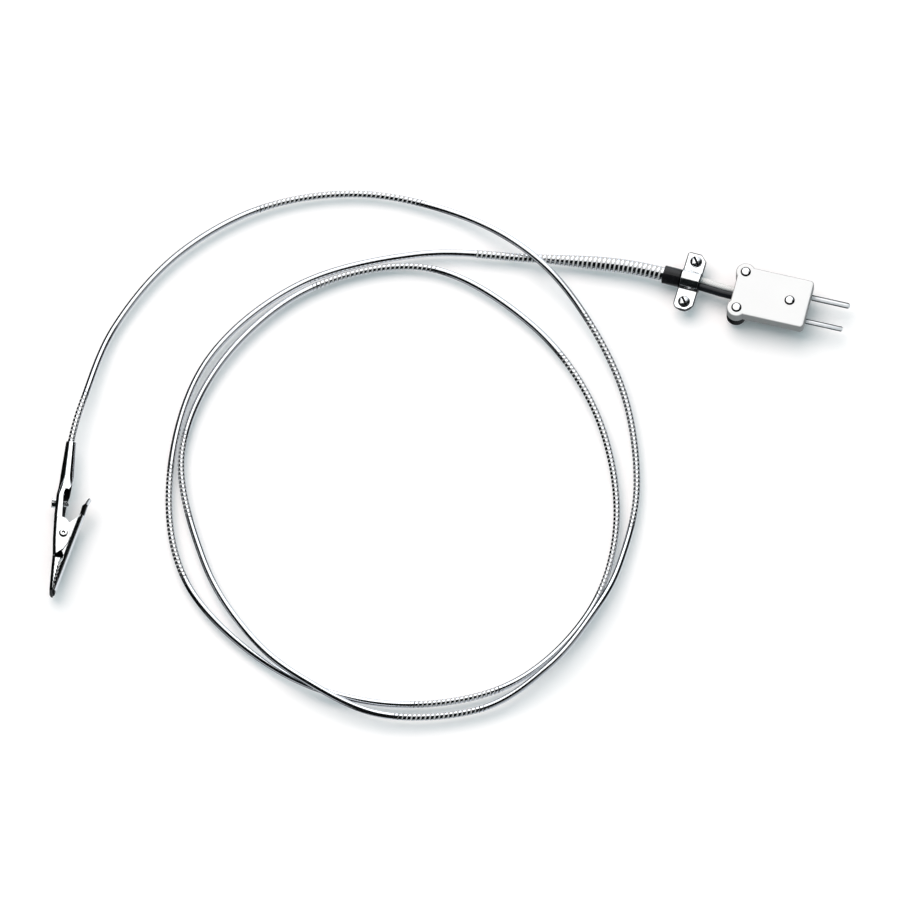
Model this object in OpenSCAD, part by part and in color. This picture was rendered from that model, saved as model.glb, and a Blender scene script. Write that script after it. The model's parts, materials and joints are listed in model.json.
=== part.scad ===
// Clip probe on an armoured lead with a two-pin plug, in millimetres.
// The clip stands at the origin with its jaws toward -Y. The lead lies in two loops on the surface z = 0.

/* [Clip] */
// Thickness of the fixed jaw's sheet
fixed_sheet = 0.6; // [0.4:0.05:0.7]
// Thickness of the moving jaw's sheet
moving_sheet = 0.5; // [0.4:0.05:0.6]
// Width over the fixed jaw's cheeks
jaw_width = 6.6; // [6.4:0.1:6.8]
// Height of the clip's middle plane above the surface
clip_z = 3.8; // [3.8:0.1:4.2]
// Diameter of the hinge rivet's shank
rivet_d = 1.6; // [1.2:0.1:2]
// Diameter of the hinge rivet's heads
rivet_head_d = 2.7; // [2.4:0.1:3.2]
// Outer diameter of the crimp barrel at the jaw
barrel_low_d = 4.3; // [4:0.1:4.6]
// Outer diameter of the crimp barrel at the hose
barrel_top_d = 3.1; // [3:0.05:3.4]
// Wire diameter of the jaw spring
spring_wire = 0.7; // [0.5:0.05:0.7]
// Teeth on each jaw
teeth = 6; // [4:1:8]

/* [Lead] */
// Outer diameter of the armour hose
hose_d = 2.1; // [2:0.05:2.2]
// Outer diameter of the bend relief where it meets the sleeve
relief_d = 4.3; // [3.8:0.1:4.3]
// Outer diameter of the black sleeve
sleeve_d = 5.6; // [5.2:0.1:6]
// Diameter of the wire with the pale braid
light_d = 1.9; // [1.7:0.1:2]
// Diameter of the wire with the dark cover
dark_d = 2.3; // [2.1:0.1:2.3]

/* [Clamp] */
// Thickness of the saddles' sheet
saddle_sheet = 0.55; // [0.4:0.05:0.6]
// Outer radius of the saddles' arches
arch_r = 3.1; // [3.05:0.05:3.3]
// Length of the saddles along the lead
saddle_len = 6.1; // [5.8:0.1:6.4]
// Distance between the two clamp screws
screw_gap = 13.74; // [13.5:0.05:14.2]
// Diameter of the clamp screws' heads
pan_d = 3.7; // [3.4:0.1:4]
// Shift of the ears and their screws to the right side of the lead
ear_shift = 0.5; // [0:0.1:0.6]

/* [Plug] */
// Half of the plug's width
plug_half = 7.95; // [7.8:0.05:8.2]
// Distance from the rear rivets to the front face
plug_front = 21.1; // [20.5:0.1:22]
// Distance of each pin from the plug's centre line
pin_side = 4; // [3.8:0.05:4.2]
// Diameter of the thick pin
thick_d = 1.8; // [1.6:0.1:2]
// Diameter of the thin pin
thin_d = 1.6; // [1.4:0.1:1.8]
// Distance of the rear rivets from the centre line
lobe_side = 6.08; // [6:0.02:6.3]
// Radius of the two rear lobes
lobe_r = 2.95; // [2.7:0.05:3.1]

/* [Hidden] */
$fn = 48;
slip = 0.03;
clip_at = [-1.1, -5.9];
low = clip_z - jaw_width / 2;
high = clip_z + jaw_width / 2;
in_low = low + fixed_sheet + 0.1;
in_high = high - fixed_sheet - 0.1;
barrel_x = -0.8;
neck_y = 12.2;
barrel_y = 20;
barrel_end = 31.3;
hinge_hole = rivet_d / 2 + 0.05;

clamp_at = [179.8, 97.25];
clamp_turn = -10.2;
clamp_z = 3.1;
plug_at = [195.5, 93.95];
plug_turn = -8.2;
split_z = 3.8;
light_y = 1.1;
dark_y = -1.1;
base_z = 0.5;
cover_z = 7.5;
front_rivet_x = 15.13;
block_x = 9.6;
block = [3.4, 3.2, 3];
pin_from = plug_front + 0.1;
pin_to = 32.2;

// A place beside the clamp and one beside the plug, as points of the whole.
function by_clamp(a, b, z) = [
  clamp_at.x + a * cos(clamp_turn) - b * sin(clamp_turn),
  clamp_at.y + a * sin(clamp_turn) + b * cos(clamp_turn), z];
function by_plug(a, b, z) = [
  plug_at.x + a * cos(plug_turn) - b * sin(plug_turn),
  plug_at.y + a * sin(plug_turn) + b * cos(plug_turn), z];

// The hose's way from the barrel through both loops to the sleeve.
route = [
  [-1.9, 14, 3.8], [-1.9, 26, 3.8], [0.5, 41, 2.9], [7.4, 66.3, 1.05], [23.8, 91.7, 1.05],
  [48.3, 110, 1.05], [78, 117.4, 1.05], [108.3, 112.8, 2], [131.6, 100.1, 5.4], [149.2, 82.6, 3],
  [163.6, 57.7, 1.05], [170, 28, 1.05], [167.3, 2.6, 2], [160.9, -15.2, 3.8], [148.9, -34.4, 3.8],
  [130.1, -49.3, 1.8], [101, -54.5, 2.6], [76, -46, 4.5], [57.7, -31.8, 2.8], [41.9, -8.6, 1.05],
  [31.7, 25.5, 1.05], [41, 58.2, 1.05], [65.4, 84.8, 1.05], [100.1, 94.8, 1.05], [133.3, 78.9, 1.05],
  [155.3, 51.9, 1.05], [164.9, 17.5, 1.05], [159.4, -14.3, 1.05], [137.5, -40.5, 1.05],
  [103, -50.1, 1.05], [68.1, -42.4, 1.05], [38.3, -17.5, 1.05], [28.9, 17, 1.05], [35.6, 56.2, 1.05],
  [60.9, 85, 1.05], [96.4, 98.8, 1.4], [130, 100.7, 1.8], [157, 100.6, 2.4],
  by_clamp(-9, 0, clamp_z), by_clamp(-4, 0, clamp_z)];

// A smooth curve's point between b and c, with its neighbours a and d.
function curve(a, b, c, d, t) = 0.5 * (2 * b + (c - a) * t
  + (2 * a - 5 * b + 4 * c - d) * t * t + (3 * b - a - 3 * c + d) * t * t * t);
function held(p) = [p.x, p.y, max(p.z, hose_d / 2)];
last = len(route) - 1;
// The first and the last stretch lie straight in the barrel and in the sleeve.
hose_line = concat([route[0]],
  [for (i = [1 : last - 2], t = [0, 0.5])
    held(curve(route[i - 1], route[i], route[i + 1], route[i + 2], t))],
  [route[last - 1], route[last]]);
relief_from = len(hose_line) - 7;
relief_line = [for (i = [relief_from : len(hose_line) - 1]) hose_line[i]];
relief_radii = [1.2, 1.35, 1.7, relief_d / 2, relief_d / 2, relief_d / 2, relief_d / 2];

// Rings of eight points along a line, and the faces between them.
function unit(v) = v / norm(v);
function ahead(line, i) = unit(line[min(i + 1, len(line) - 1)] - line[max(i - 1, 0)]);
function side(t) = unit(cross(t, [0, 0, 1]));
function ring(line, i, r) = let (t = ahead(line, i), s = side(t), u = cross(s, t))
  [for (k = [0 : 7]) line[i] + r * (cos(45 * k) * s + sin(45 * k) * u)];
function flat_list(l) = [for (a = l) for (b = a) b];
function walls(n, m) = flat_list([for (i = [0 : n - 1]) flat_list([for (k = [0 : 7])
  let (a = 8 * i + k, b = 8 * i + (k + 1) % 8, c = 8 * ((i + 1) % m) + (k + 1) % 8, d = 8 * ((i + 1) % m) + k)
  [[a, b, c], [a, c, d]]])]);

// A solid round run along a line of points.
module run(line, d) {
  n = len(line);
  polyhedron(
    points = flat_list([for (i = [0 : n - 1]) ring(line, i, d / 2)]),
    faces = concat([[for (k = [0 : 7]) 7 - k]], walls(n - 1, n), [[for (k = [0 : 7]) 8 * (n - 1) + k]]));
}

// The wires' lines from the sleeve through the bush to the inside of the plug.
reach = 10.6;
function wire_line(b_clamp, b_plug) = concat(
  [by_clamp(-3.95, b_clamp, clamp_z)],
  [for (t = [0 : 0.2 : 1.001]) let (w = t * t * (3 - 2 * t))
    (1 - w) * by_clamp(3.2 + t * reach, b_clamp, clamp_z)
    + w * by_plug(-2.25 - (1 - t) * reach, b_plug, split_z)],
  [by_plug(3, b_plug, split_z)]);

// Outer lines of the clip's two spines: the fixed one is bent a little, the moving one is straight.
back_line = [[-18.4, -2.42], [-11.5, -2.55], [-6.7, -2.6], [-2, -3.03], [6.3, -3.4], [12.2, -3.4]];
function back_x(y) = lookup(y, back_line);
function front_x(y) = 5.81 - (7.92 - y) * 0.243;
// Line on which the teeth meet, from its root to its end.
bite_from = -9.3;
bite_to = -17;
function bite_x(y) = -0.2 + (y + 8.9) * 0.137;
tooth = (bite_from - bite_to) / teeth;

module at_clip() {
  translate([clip_at.x, clip_at.y, 0]) children();
}
module at_clamp() {
  translate([clamp_at.x, clamp_at.y, 0]) rotate([0, 0, clamp_turn]) children();
}
module at_plug() {
  translate([plug_at.x, plug_at.y, 0]) rotate([0, 0, plug_turn]) children();
}
module slab(z0, z1) {
  translate([0, 0, z0]) linear_extrude(z1 - z0) children();
}

// ---------- clip ----------
module fixed_cheek() {
  polygon([[back_x(neck_y), neck_y], [-0.95, 12.9], [-0.45, 9.2], [0, 5.3], [1.3, 3.9], [2.15, -1.1],
    [1.7, -3], [0.5, -5.1], [-1.55, -6.75], [back_x(-6.75), -6.75]]);
}
module fixed_nose() {
  polygon(concat(
    [[back_x(-8.2), -8.2], [-0.9, -8.25], [bite_x(bite_from), bite_from]],
    flat_list([for (i = [0 : teeth - 1]) [
      [bite_x(bite_from - tooth * (i + 0.5)) - 0.4, bite_from - tooth * (i + 0.5)],
      [bite_x(bite_from - tooth * (i + 1)), bite_from - tooth * (i + 1)]]]),
    [[-1.5, -18], [-1.5, -18.95], [-1.95, -18.85], [back_x(-18.4), -18.4], [back_x(-11.5), -11.5]]));
}
module back_strip() {
  n = len(back_line);
  polygon(concat(
    [for (i = [0 : n - 1]) [back_line[i].y, back_line[i].x]],
    [for (i = [n - 1 : -1 : 0]) [back_line[i].y + fixed_sheet, back_line[i].x]]));
}
module neck_plan(inset) {
  polygon([[back_x(neck_y) + inset, neck_y - 0.01], [-0.95 + 4 * inset, neck_y - 0.01],
    [-0.95 + 4 * inset, 12.9], [1.2 + 4 * inset, 19.6], [1.2 + 4 * inset, 20.01], [-2.95 + inset, 20.01],
    [-3.3 + inset, 18.7]]);
}
module neck_side(inset) {
  rotate([90, 0, 90]) translate([0, 0, -6]) linear_extrude(12)
    polygon([[neck_y - 0.02, low + inset], [20.02, clip_z - 1.9 + inset * 0.8],
      [20.02, clip_z + 1.9 - inset * 0.8], [neck_y - 0.02, high - inset]]);
}
module fixed_jaw() {
  color([0.86, 0.87, 0.88]) at_clip() {
    difference() {
      union() {
        slab(low, low + fixed_sheet) fixed_cheek();
        slab(high - fixed_sheet, high) fixed_cheek();
        slab(low, low + fixed_sheet) fixed_nose();
        slab(high - fixed_sheet, high) fixed_nose();
        slab(low, high) back_strip();
        // Turned-in tip between the cheeks.
        slab(low, high) polygon([[back_x(-18), -18], [-1.86, -18], [-1.5, -18.45], [-1.5, -18.95],
          [-1.95, -18.85], [back_x(-18.4), -18.4]]);
      }
      translate([0, 0, low - 1]) cylinder(d = rivet_d + 2 * slip, h = jaw_width + 2);
      // Tapped hole for the terminal screw.
      translate([-6, 11, clip_z]) rotate([0, 90, 0]) cylinder(d = 1.8 + 2 * slip, h = 5);
    }
    // Neck that draws the channel in to the barrel.
    difference() {
      intersection() {
        slab(0, 9) neck_plan(0);
        neck_side(0);
      }
      intersection() {
        slab(-1, 10) neck_plan(fixed_sheet);
        neck_side(fixed_sheet);
      }
    }
    // Crimp barrel, rolled up to an open seam.
    translate([barrel_x, barrel_y, clip_z]) rotate([-90, 0, 0]) rotate([0, 0, -75])
      rotate_extrude(angle = 353) polygon([[barrel_low_d / 2 - fixed_sheet, 0], [barrel_low_d / 2, 0],
        [barrel_top_d / 2, barrel_end - barrel_y], [hose_d / 2 + slip, barrel_end - barrel_y]]);
  }
}

module moving_cheek() {
  polygon(concat(
    [[1.35, 3.9], [5.05, 6.6], [front_x(7.9) - 0.2, 7.9], [front_x(7.9), 7.9], [front_x(-18.4), -18.4],
      [-0.75, -18.9], [-1.28, -19], [-1.3, -18]],
    flat_list([for (i = [0 : teeth - 1]) [
      [bite_x(bite_to + tooth * i) + 0.3, bite_to + tooth * i],
      [bite_x(bite_to + tooth * (i + 0.5)) - 0.12, bite_to + tooth * (i + 0.5)]]]),
    [[bite_x(bite_from) + 0.3, bite_from], [-0.5, -8.4], [-0.9, -6.5], [-1.2, -3], [-1.75, -1], [-1.75, 0.8],
      [-1, 2.6]]));
}
module moving_jaw() {
  color([0.84, 0.85, 0.87]) at_clip() difference() {
    union() {
      slab(in_low, in_low + moving_sheet) moving_cheek();
      slab(in_high - moving_sheet, in_high) moving_cheek();
      // Spine, turned-in tip and thumb lever in one strip.
      slab(in_low, in_high) polygon([[front_x(7.9), 7.9], [front_x(-18.4), -18.4], [-0.75, -18.9],
        [-1.28, -19], [-1.28, -18.55], [-1.08, -18.45], [front_x(-18) - moving_sheet, -18],
        [front_x(7.9) - moving_sheet, 7.9]]);
      slab(in_low, in_high) polygon([[front_x(7.9) - moving_sheet, 7.88], [front_x(7.9), 7.88], [6.32, 11],
        [6.95, 12.5], [6.55, 12.75], [5.85, 11.2], [5.25, 8.3]]);
    }
    translate([0, 0, low - 1]) cylinder(r = hinge_hole, h = jaw_width + 2);
  }
}

module pivot_rivet() {
  color([0.8, 0.81, 0.83]) at_clip() {
    translate([0, 0, low]) cylinder(d = rivet_d, h = jaw_width);
    for (end = [0, 1]) {
      translate([0, 0, end == 0 ? low - 0.5 : high]) difference() {
        cylinder(d = rivet_head_d, h = 0.5);
        translate([0, 0, end == 0 ? -0.01 : 0.31]) cylinder(d = 1, h = 0.2);
      }
    }
  }
}

spring_r = 2.2 - spring_wire / 2;
spring_turn = spring_wire + 0.03;
module jaw_spring() {
  foot = clip_z - spring_turn * 2.22;
  color([0.55, 0.56, 0.58]) at_clip() run(concat(
    [[-2.42, 6.2, foot], [-2.1, 3, foot]],
    [for (a = [183 : 30 : 1773])
      [spring_r * cos(a), spring_r * sin(a), foot + spring_turn * (a - 183) / 360]],
    [[3, 2.7, foot + spring_turn * 4.44], [4.22, 5.9, foot + spring_turn * 4.44]]), spring_wire);
}

module terminal_screw() {
  color([0.8, 0.81, 0.83]) at_clip() translate([-3.45, 11, clip_z]) rotate([0, 90, 0]) difference() {
    union() {
      cylinder(d = 1.8, h = 4.04);
      translate([0, 0, -1.2]) cylinder(d = 3.05, h = 1.2);
    }
    translate([-2, -0.25, -1.21]) cube([4, 0.5, 0.6]);
  }
}

bead_at = [-1.9, 14.2, clip_z];
module sensor_wires() {
  color([0.75, 0.6, 0.45]) at_clip() for (s = [-1, 1])
    run([[barrel_x + 0.5 * s, 19.87, clip_z], [barrel_x - 0.2 + 0.5 * s, 18.2, clip_z],
      [bead_at.x + 0.22 * s, 14.85, clip_z]], 0.36);
}
module junction_bead() {
  color([0.7, 0.7, 0.72]) at_clip() translate(bead_at) difference() {
    sphere(r = 0.75);
    translate([-1, 0.63, -1]) cube([2, 1, 2]);
  }
}

// ---------- lead ----------
module armour_hose() {
  color([0.72, 0.73, 0.76]) run(hose_line, hose_d);
}
module bend_relief() {
  n = len(relief_line);
  color([0.66, 0.67, 0.7]) polyhedron(
    points = concat(
      flat_list([for (i = [0 : n - 1]) ring(relief_line, i, relief_radii[i])]),
      flat_list([for (i = [0 : n - 1]) ring(relief_line, n - 1 - i, hose_d / 2 + 0.02)])),
    faces = walls(2 * n, 2 * n));
}
// The sleeve's ends along the clamp's axis.
sleeve_from = -8.45;
sleeve_to = -3.15;
module wire_slot(x0, x1, mid_z) {
  translate([x0, 0, mid_z]) rotate([90, 0, 90]) linear_extrude(x1 - x0) union() {
    translate([dark_y, 0]) circle(d = dark_d + 0.06);
    translate([light_y, 0]) circle(d = dark_d + 0.06);
    translate([dark_y, -dark_d / 2 - 0.03]) square([light_y - dark_y, dark_d + 0.06]);
  }
}
module armour_sleeve() {
  color([0.08, 0.08, 0.09]) at_clamp() difference() {
    translate([sleeve_from, 0, clamp_z]) rotate([0, 90, 0])
      cylinder(d = sleeve_d, h = sleeve_to - sleeve_from);
    translate([sleeve_from - 0.1, 0, clamp_z]) rotate([0, 90, 0])
      cylinder(d = relief_d + 0.2, h = 0.1 - sleeve_from - 3.98);
    wire_slot(-4.5, -3, clamp_z);
  }
}
module clamp_bush() {
  color([0.1, 0.1, 0.11]) at_clamp() difference() {
    translate([-3.05, 0, clamp_z]) rotate([0, 90, 0]) cylinder(r = arch_r - saddle_sheet - 0.02, h = 6);
    wire_slot(-4, 4, clamp_z);
  }
}
module light_wire() {
  color([0.83, 0.83, 0.8]) run(wire_line(light_y, light_y), light_d);
}
module dark_wire() {
  color([0.13, 0.13, 0.15]) run(wire_line(dark_y, dark_y), dark_d);
}

// ---------- clamp ----------
// Half of the gap between the two saddles, a strip's length before its ends are cut, and its ears' ends.
half_gap = 0.03;
strip = 24;
ear_r = 2.68;
screw_b = screw_gap / 2;
screw_hole_r = 1.05;
ear_cut = 2;
// A strip with an arch in its middle, seen along the lead; way is 1 for the upper one, -1 for the lower.
module saddle(way) {
  intersection() {
    translate([-saddle_len / 2, 0, clamp_z]) rotate([90, 0, 90]) linear_extrude(saddle_len) scale([1, way])
      difference() {
        union() {
          intersection() {
            circle(r = arch_r);
            translate([-strip / 2, half_gap]) square([strip, arch_r]);
          }
          translate([-strip / 2, half_gap]) square([strip, saddle_sheet]);
        }
        circle(r = arch_r - saddle_sheet);
      }
    slab(-1, 8) children();
  }
}
module screw_places() {
  for (s = [-1, 1]) translate([0, s * screw_b - ear_shift]) children();
}
module ears() {
  difference() {
    union() {
      translate([-saddle_len / 2, -screw_b - ear_shift]) square([saddle_len, screw_gap]);
      screw_places() circle(r = ear_r);
      for (s = [-1, 1]) translate([-ear_r, s * screw_b - ear_shift - (s < 0 ? 0 : 1)]) square([2 * ear_r, 1]);
    }
    screw_places() circle(r = screw_hole_r);
  }
}
// The upper strip's outline: cut corners on the plug's side, a small and a round one on the hose's side.
module cut_ears() {
  h = saddle_len / 2;
  e = screw_b + ear_r;
  difference() {
    translate([0, -ear_shift]) {
      polygon([[-h, -e + ear_cut], [-h + ear_cut, -e], [h - ear_cut, -e], [h, -e + ear_cut], [h, e - ear_cut],
        [h - ear_cut, e], [-h + 0.6, e], [-h, e - 0.6]]);
      translate([-h + ear_cut, -e + ear_cut]) circle(r = ear_cut);
    }
    screw_places() circle(r = screw_hole_r);
  }
}
module saddle_upper() {
  color([0.85, 0.86, 0.87]) at_clamp() saddle(1) cut_ears();
}
module saddle_lower() {
  color([0.8, 0.81, 0.83]) at_clamp() saddle(-1) ears();
}
module clamp_screws() {
  top = clamp_z + half_gap + saddle_sheet;
  color([0.85, 0.86, 0.88]) at_clamp() screw_places() difference() {
    union() {
      slab(0.4, top) circle(d = 2);
      slab(top, top + 0.6) circle(d = pan_d);
      translate([0, 0, top + 0.6]) cylinder(d1 = pan_d, d2 = pan_d - 1.2, h = 0.5);
    }
    rotate([0, 0, 40]) translate([-3, -0.25, top + 0.5]) cube([6, 0.5, 1]);
  }
}
module clamp_nuts() {
  top = clamp_z - half_gap - saddle_sheet;
  color([0.75, 0.76, 0.78]) at_clamp() screw_places() slab(top - 1.6, top) difference() {
    circle(d = 4.6, $fn = 6);
    circle(d = 2.04);
  }
}

// ---------- plug ----------
module lobes() {
  for (s = [-1, 1]) translate([0, s * lobe_side]) circle(r = lobe_r);
}
// The outline drawn in by a distance on the sides and the front, with rounded front corners.
module plug_plan(inset, corner) {
  w = plug_half - inset;
  f = plug_front - inset;
  translate([-2.25, -w]) square([f + 2.25 - corner, 2 * w]);
  translate([f - corner - 1, -w + corner]) square([corner + 1, 2 * w - 2 * corner]);
  for (s = [-1, 1]) translate([f - corner, s * (w - corner)]) circle(r = corner);
  lobes();
}
module rivet_holes() {
  for (s = [-1, 1]) translate([0, s * lobe_side, 0]) cylinder(d = 1.7 + 2 * slip, h = 10);
  translate([front_rivet_x, 0, 0]) cylinder(d = 1.7 + 2 * slip, h = 10);
}
module plug_inside() {
  // Wire room, the two seats of the terminal blocks and the room over their screws.
  translate([1.5, -4.6, 1.7]) cube([6, 9.2, 4.6]);
  for (s = [-1, 1]) {
    translate([7.4, s * pin_side - 1.2, 2.6]) cube([2.5, 2.4, 2.4]);
    translate([block_x - 0.1, s * pin_side - 1.7, split_z - 1.6]) cube([block.x + 0.2, 3.4, 3.2]);
    translate([block_x - 0.1, s * pin_side - 1.7, split_z]) cube([block.x + 0.2, 3.4, 2.6]);
  }
  translate([block_x, pin_side, split_z]) rotate([0, 90, 0]) cylinder(d = thick_d + 2 * slip, h = 15);
  translate([block_x, -pin_side, split_z]) rotate([0, 90, 0]) cylinder(d = thin_d + 2 * slip, h = 15);
  wire_slot(-3, 2, split_z);
}
module plug_cover() {
  color([0.95, 0.95, 0.94]) at_plug() difference() {
    slab(split_z + 0.02, cover_z) plug_plan(0, 1.2);
    plug_inside();
    rivet_holes();
  }
}
module plug_base() {
  color([0.1, 0.1, 0.11]) at_plug() difference() {
    slab(base_z, split_z) plug_plan(1.5, 1);
    plug_inside();
    rivet_holes();
  }
}
// A rivet with a shallow domed head, a small dimple in it and a flat tail.
module rivet() {
  translate([0, 0, 0.4]) cylinder(d = 1.7, h = cover_z - 0.3);
  cylinder(d = 2.6, h = base_z);
  difference() {
    intersection() {
      translate([0, 0, cover_z + 0.55 - 2.5]) sphere(r = 2.5);
      translate([0, 0, cover_z]) cylinder(d = 3.1, h = 1);
    }
    translate([0, 0, cover_z + 0.4]) cylinder(d = 0.6, h = 1);
  }
}
module rear_rivets() {
  color([0.86, 0.87, 0.89]) at_plug() for (s = [-1, 1]) translate([0, s * lobe_side, 0]) rivet();
}
module front_rivet() {
  color([0.86, 0.87, 0.89]) at_plug() translate([front_rivet_x, 0, 0]) rivet();
}
// A terminal block with its wire hole and screw hole.
module terminal() {
  difference() {
    translate([0, -block.y / 2, -block.z / 2]) cube(block);
    translate([-0.1, 0, 0]) rotate([0, 90, 0]) cylinder(d = 0.8, h = 2.9);
    translate([1.6, 0, 0]) cylinder(d = 2, h = 3);
  }
}
// A stem that joins the block to the pin proper, which starts just outside the front face.
module stem(d) {
  translate([block.x - 0.1, 0, 0]) rotate([0, 90, 0])
    cylinder(d = d - 0.4, h = pin_from - block_x - block.x + 0.2);
}
module thick_pin() {
  color([0.82, 0.83, 0.85]) at_plug() translate([block_x, pin_side, split_z]) {
    terminal();
    stem(thick_d);
    translate([pin_from - block_x, 0, 0]) rotate([0, 90, 0]) cylinder(d = thick_d, h = pin_to - pin_from);
    translate([pin_to - block_x, 0, 0]) sphere(d = thick_d);
  }
}
module thin_pin() {
  color([0.82, 0.83, 0.85]) at_plug() translate([block_x, -pin_side, split_z]) {
    terminal();
    stem(thin_d);
    translate([pin_from - block_x, 0, 0]) rotate([0, 90, 0]) cylinder(d = thin_d, h = pin_to - pin_from);
    translate([pin_to - block_x, 0, 0]) rotate([0, 90, 0]) cylinder(d1 = thin_d, d2 = thin_d - 0.5, h = 0.4);
  }
}
module terminal_screws() {
  color([0.8, 0.78, 0.6]) at_plug() for (s = [-1, 1])
    translate([block_x + 1.6, s * pin_side, split_z]) difference() {
      union() {
        translate([0, 0, 0.42]) cylinder(d = 1.94, h = 1.1);
        translate([0, 0, block.z / 2]) cylinder(d = 2.9, h = 0.9);
      }
      rotate([0, 0, 25]) translate([-2, -0.2, block.z / 2 + 0.45]) cube([4, 0.4, 1]);
    }
}
module conductor(b, s) {
  run([by_plug(3.02, b, split_z), by_plug(4.6, b, split_z), by_plug(7.8, s * pin_side, split_z),
    by_plug(12.2, s * pin_side, split_z)], 0.7);
}
module light_conductor() {
  color([0.75, 0.5, 0.3]) conductor(light_y, 1);
}
module dark_conductor() {
  color([0.72, 0.7, 0.66]) conductor(dark_y, -1);
}

fixed_jaw();
moving_jaw();
pivot_rivet();
jaw_spring();
terminal_screw();
sensor_wires();
junction_bead();
armour_hose();
bend_relief();
armour_sleeve();
clamp_bush();
saddle_upper();
saddle_lower();
clamp_screws();
clamp_nuts();
light_wire();
dark_wire();
plug_cover();
plug_base();
rear_rivets();
front_rivet();
thick_pin();
thin_pin();
terminal_screws();
light_conductor();
dark_conductor();
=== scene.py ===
"""Clip probe on an armoured lead: the finish of every piece, the lead's loops and the stage."""
import json
import math

import bpy
import numpy as np
from bpy.props import FloatProperty, FloatVectorProperty
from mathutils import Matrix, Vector


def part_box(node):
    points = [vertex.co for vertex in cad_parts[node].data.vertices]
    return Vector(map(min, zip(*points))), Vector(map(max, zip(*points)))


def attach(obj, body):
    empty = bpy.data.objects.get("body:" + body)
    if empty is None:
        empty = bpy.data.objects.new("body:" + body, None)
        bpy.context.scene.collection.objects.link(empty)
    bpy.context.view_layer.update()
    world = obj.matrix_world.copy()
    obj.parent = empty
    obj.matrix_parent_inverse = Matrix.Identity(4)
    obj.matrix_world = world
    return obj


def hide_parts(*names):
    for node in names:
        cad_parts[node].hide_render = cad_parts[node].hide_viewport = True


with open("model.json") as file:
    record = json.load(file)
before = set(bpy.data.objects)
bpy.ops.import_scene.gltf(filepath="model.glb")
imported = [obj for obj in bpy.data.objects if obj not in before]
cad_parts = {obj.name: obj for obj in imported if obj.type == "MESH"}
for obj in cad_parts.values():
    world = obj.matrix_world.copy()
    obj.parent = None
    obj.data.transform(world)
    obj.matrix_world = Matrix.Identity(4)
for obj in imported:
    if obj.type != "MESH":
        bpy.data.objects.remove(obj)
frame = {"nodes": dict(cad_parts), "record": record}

bl_info = {
    "name": "Clip probe with armoured lead",
    "version": (1, 0, 0),
    "blender": (4, 5, 0),
    "location": "3D View > Sidebar > Probe",
    "description": "Builds the clip, the armoured lead, the clamp and the two-pin plug",
    "category": "Object",
}

MM = 0.001
PROBE = "probe"
LEVER = "lever"
BLACK = (0.0, 0.0, 0.0)
WHITE = (1.0, 1.0, 1.0)

# Sizes in mm and turns in degrees that several pieces share.
SPLIT_Z = 3.8       # height of the joint between the plug's halves, and of its pins
CLAMP_Z = 3.1       # height of the lead's axis in the clamp
CLAMP_TURN = -10.2  # turn of the clamp from the x axis
EAR_SHIFT = 0.5     # how far the lead's axis lies to the left of the two screws' middle
SCREW_B = 6.87      # each clamp screw, from the middle of the two
EAR_R = 2.68        # round of a saddle's ear
PLUG_FRONT = 21.1   # the plug's front face, from its rear rivets
PIN_B = 4.0         # each pin, from the plug's axis
THICK_R = 0.9       # the thick pin's radius
THIN_R = 0.8        # the thin pin's radius
LOBE_R = 2.95       # round of the plug's two lobes
LOBE_B = 6.08       # each lobe and its rivet, from the plug's axis
PLUG_BACK = -2.25   # the plug's back face, from its rear rivets
NOSE_RIVET = 15.13  # the front rivet, from the rear ones
COVER_TOP = 7.5     # height of the plug's top
EAR_Z = 0.58        # a saddle's flat ears, above or under the lead's axis
SCREW_X = -3.45     # the neck screw's head, beside the hinge
SCREW_Y = 11.0      # the neck screw, behind the hinge


def grid(*values):
    """Points from their values in each direction, each spread over the whole grid."""
    return np.stack(np.broadcast_arrays(*values), axis=-1)


# ---------- places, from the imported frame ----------
def mount(name):
    """Place and axis of one of the record's mounts."""
    found = next(m for m in frame["record"]["mounts"] if m["name"] == name)
    return np.array(found["pos_m"]) / MM, np.array(found["axis"])


def plug_place():
    """Middle of the rear rivets, behind the plug's front face, and the plug's axis."""
    face, axis = mount("plug_face")
    middle = face - PLUG_FRONT * axis
    return np.array([middle[0], middle[1], 0.0]), axis


def clamp_place():
    """Place on the lead's axis beside the two clamp screws, and the lead's direction there."""
    low, high = (np.array(c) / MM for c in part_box("clamp_screws"))
    turn = math.radians(CLAMP_TURN)
    left = np.array([-math.sin(turn), math.cos(turn)])
    middle = (low + high)[:2] / 2 + EAR_SHIFT * left
    return np.array([*middle, 0.0]), np.array([math.cos(turn), math.sin(turn), 0.0])


HINGE = np.array(frame["record"]["behaviour"]["joints"][0]["pos_m"]) / MM
CLIP_AT = np.array([HINGE[0], HINGE[1], 0.0])
CLIP_Z = HINGE[2]
PLUG_AT, PLUG_AXIS = plug_place()
CLAMP_AT, CLAMP_AXIS = clamp_place()


def beside(origin, axis, points):
    """Points given along an axis, to its left and up, as points of the whole."""
    p = np.asarray(points, float)
    left = np.array([-axis[1], axis[0], 0.0])
    return origin + p[..., 0:1] * axis + p[..., 1:2] * left + p[..., 2:3] * np.array([0.0, 0.0, 1.0])


def by_clamp(points):
    """Points given from the clamp, along the lead, beside it and up."""
    return beside(CLAMP_AT, CLAMP_AXIS, points)


def by_plug(points):
    """Points given from the middle of the rear rivets, along the plug, beside it and up."""
    return beside(PLUG_AT, PLUG_AXIS, points)


def by_clip(points):
    """Points given from under the hinge, in the directions of the whole."""
    return np.asarray(points, float) + CLIP_AT


def upright(place, a=0.0, b=0.0):
    """Placing of a turned piece that stands on the table: its length runs up, at a and b of the place."""
    return lambda p: place(grid(p[..., 1] + a, p[..., 2] + b, p[..., 0]))


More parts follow.
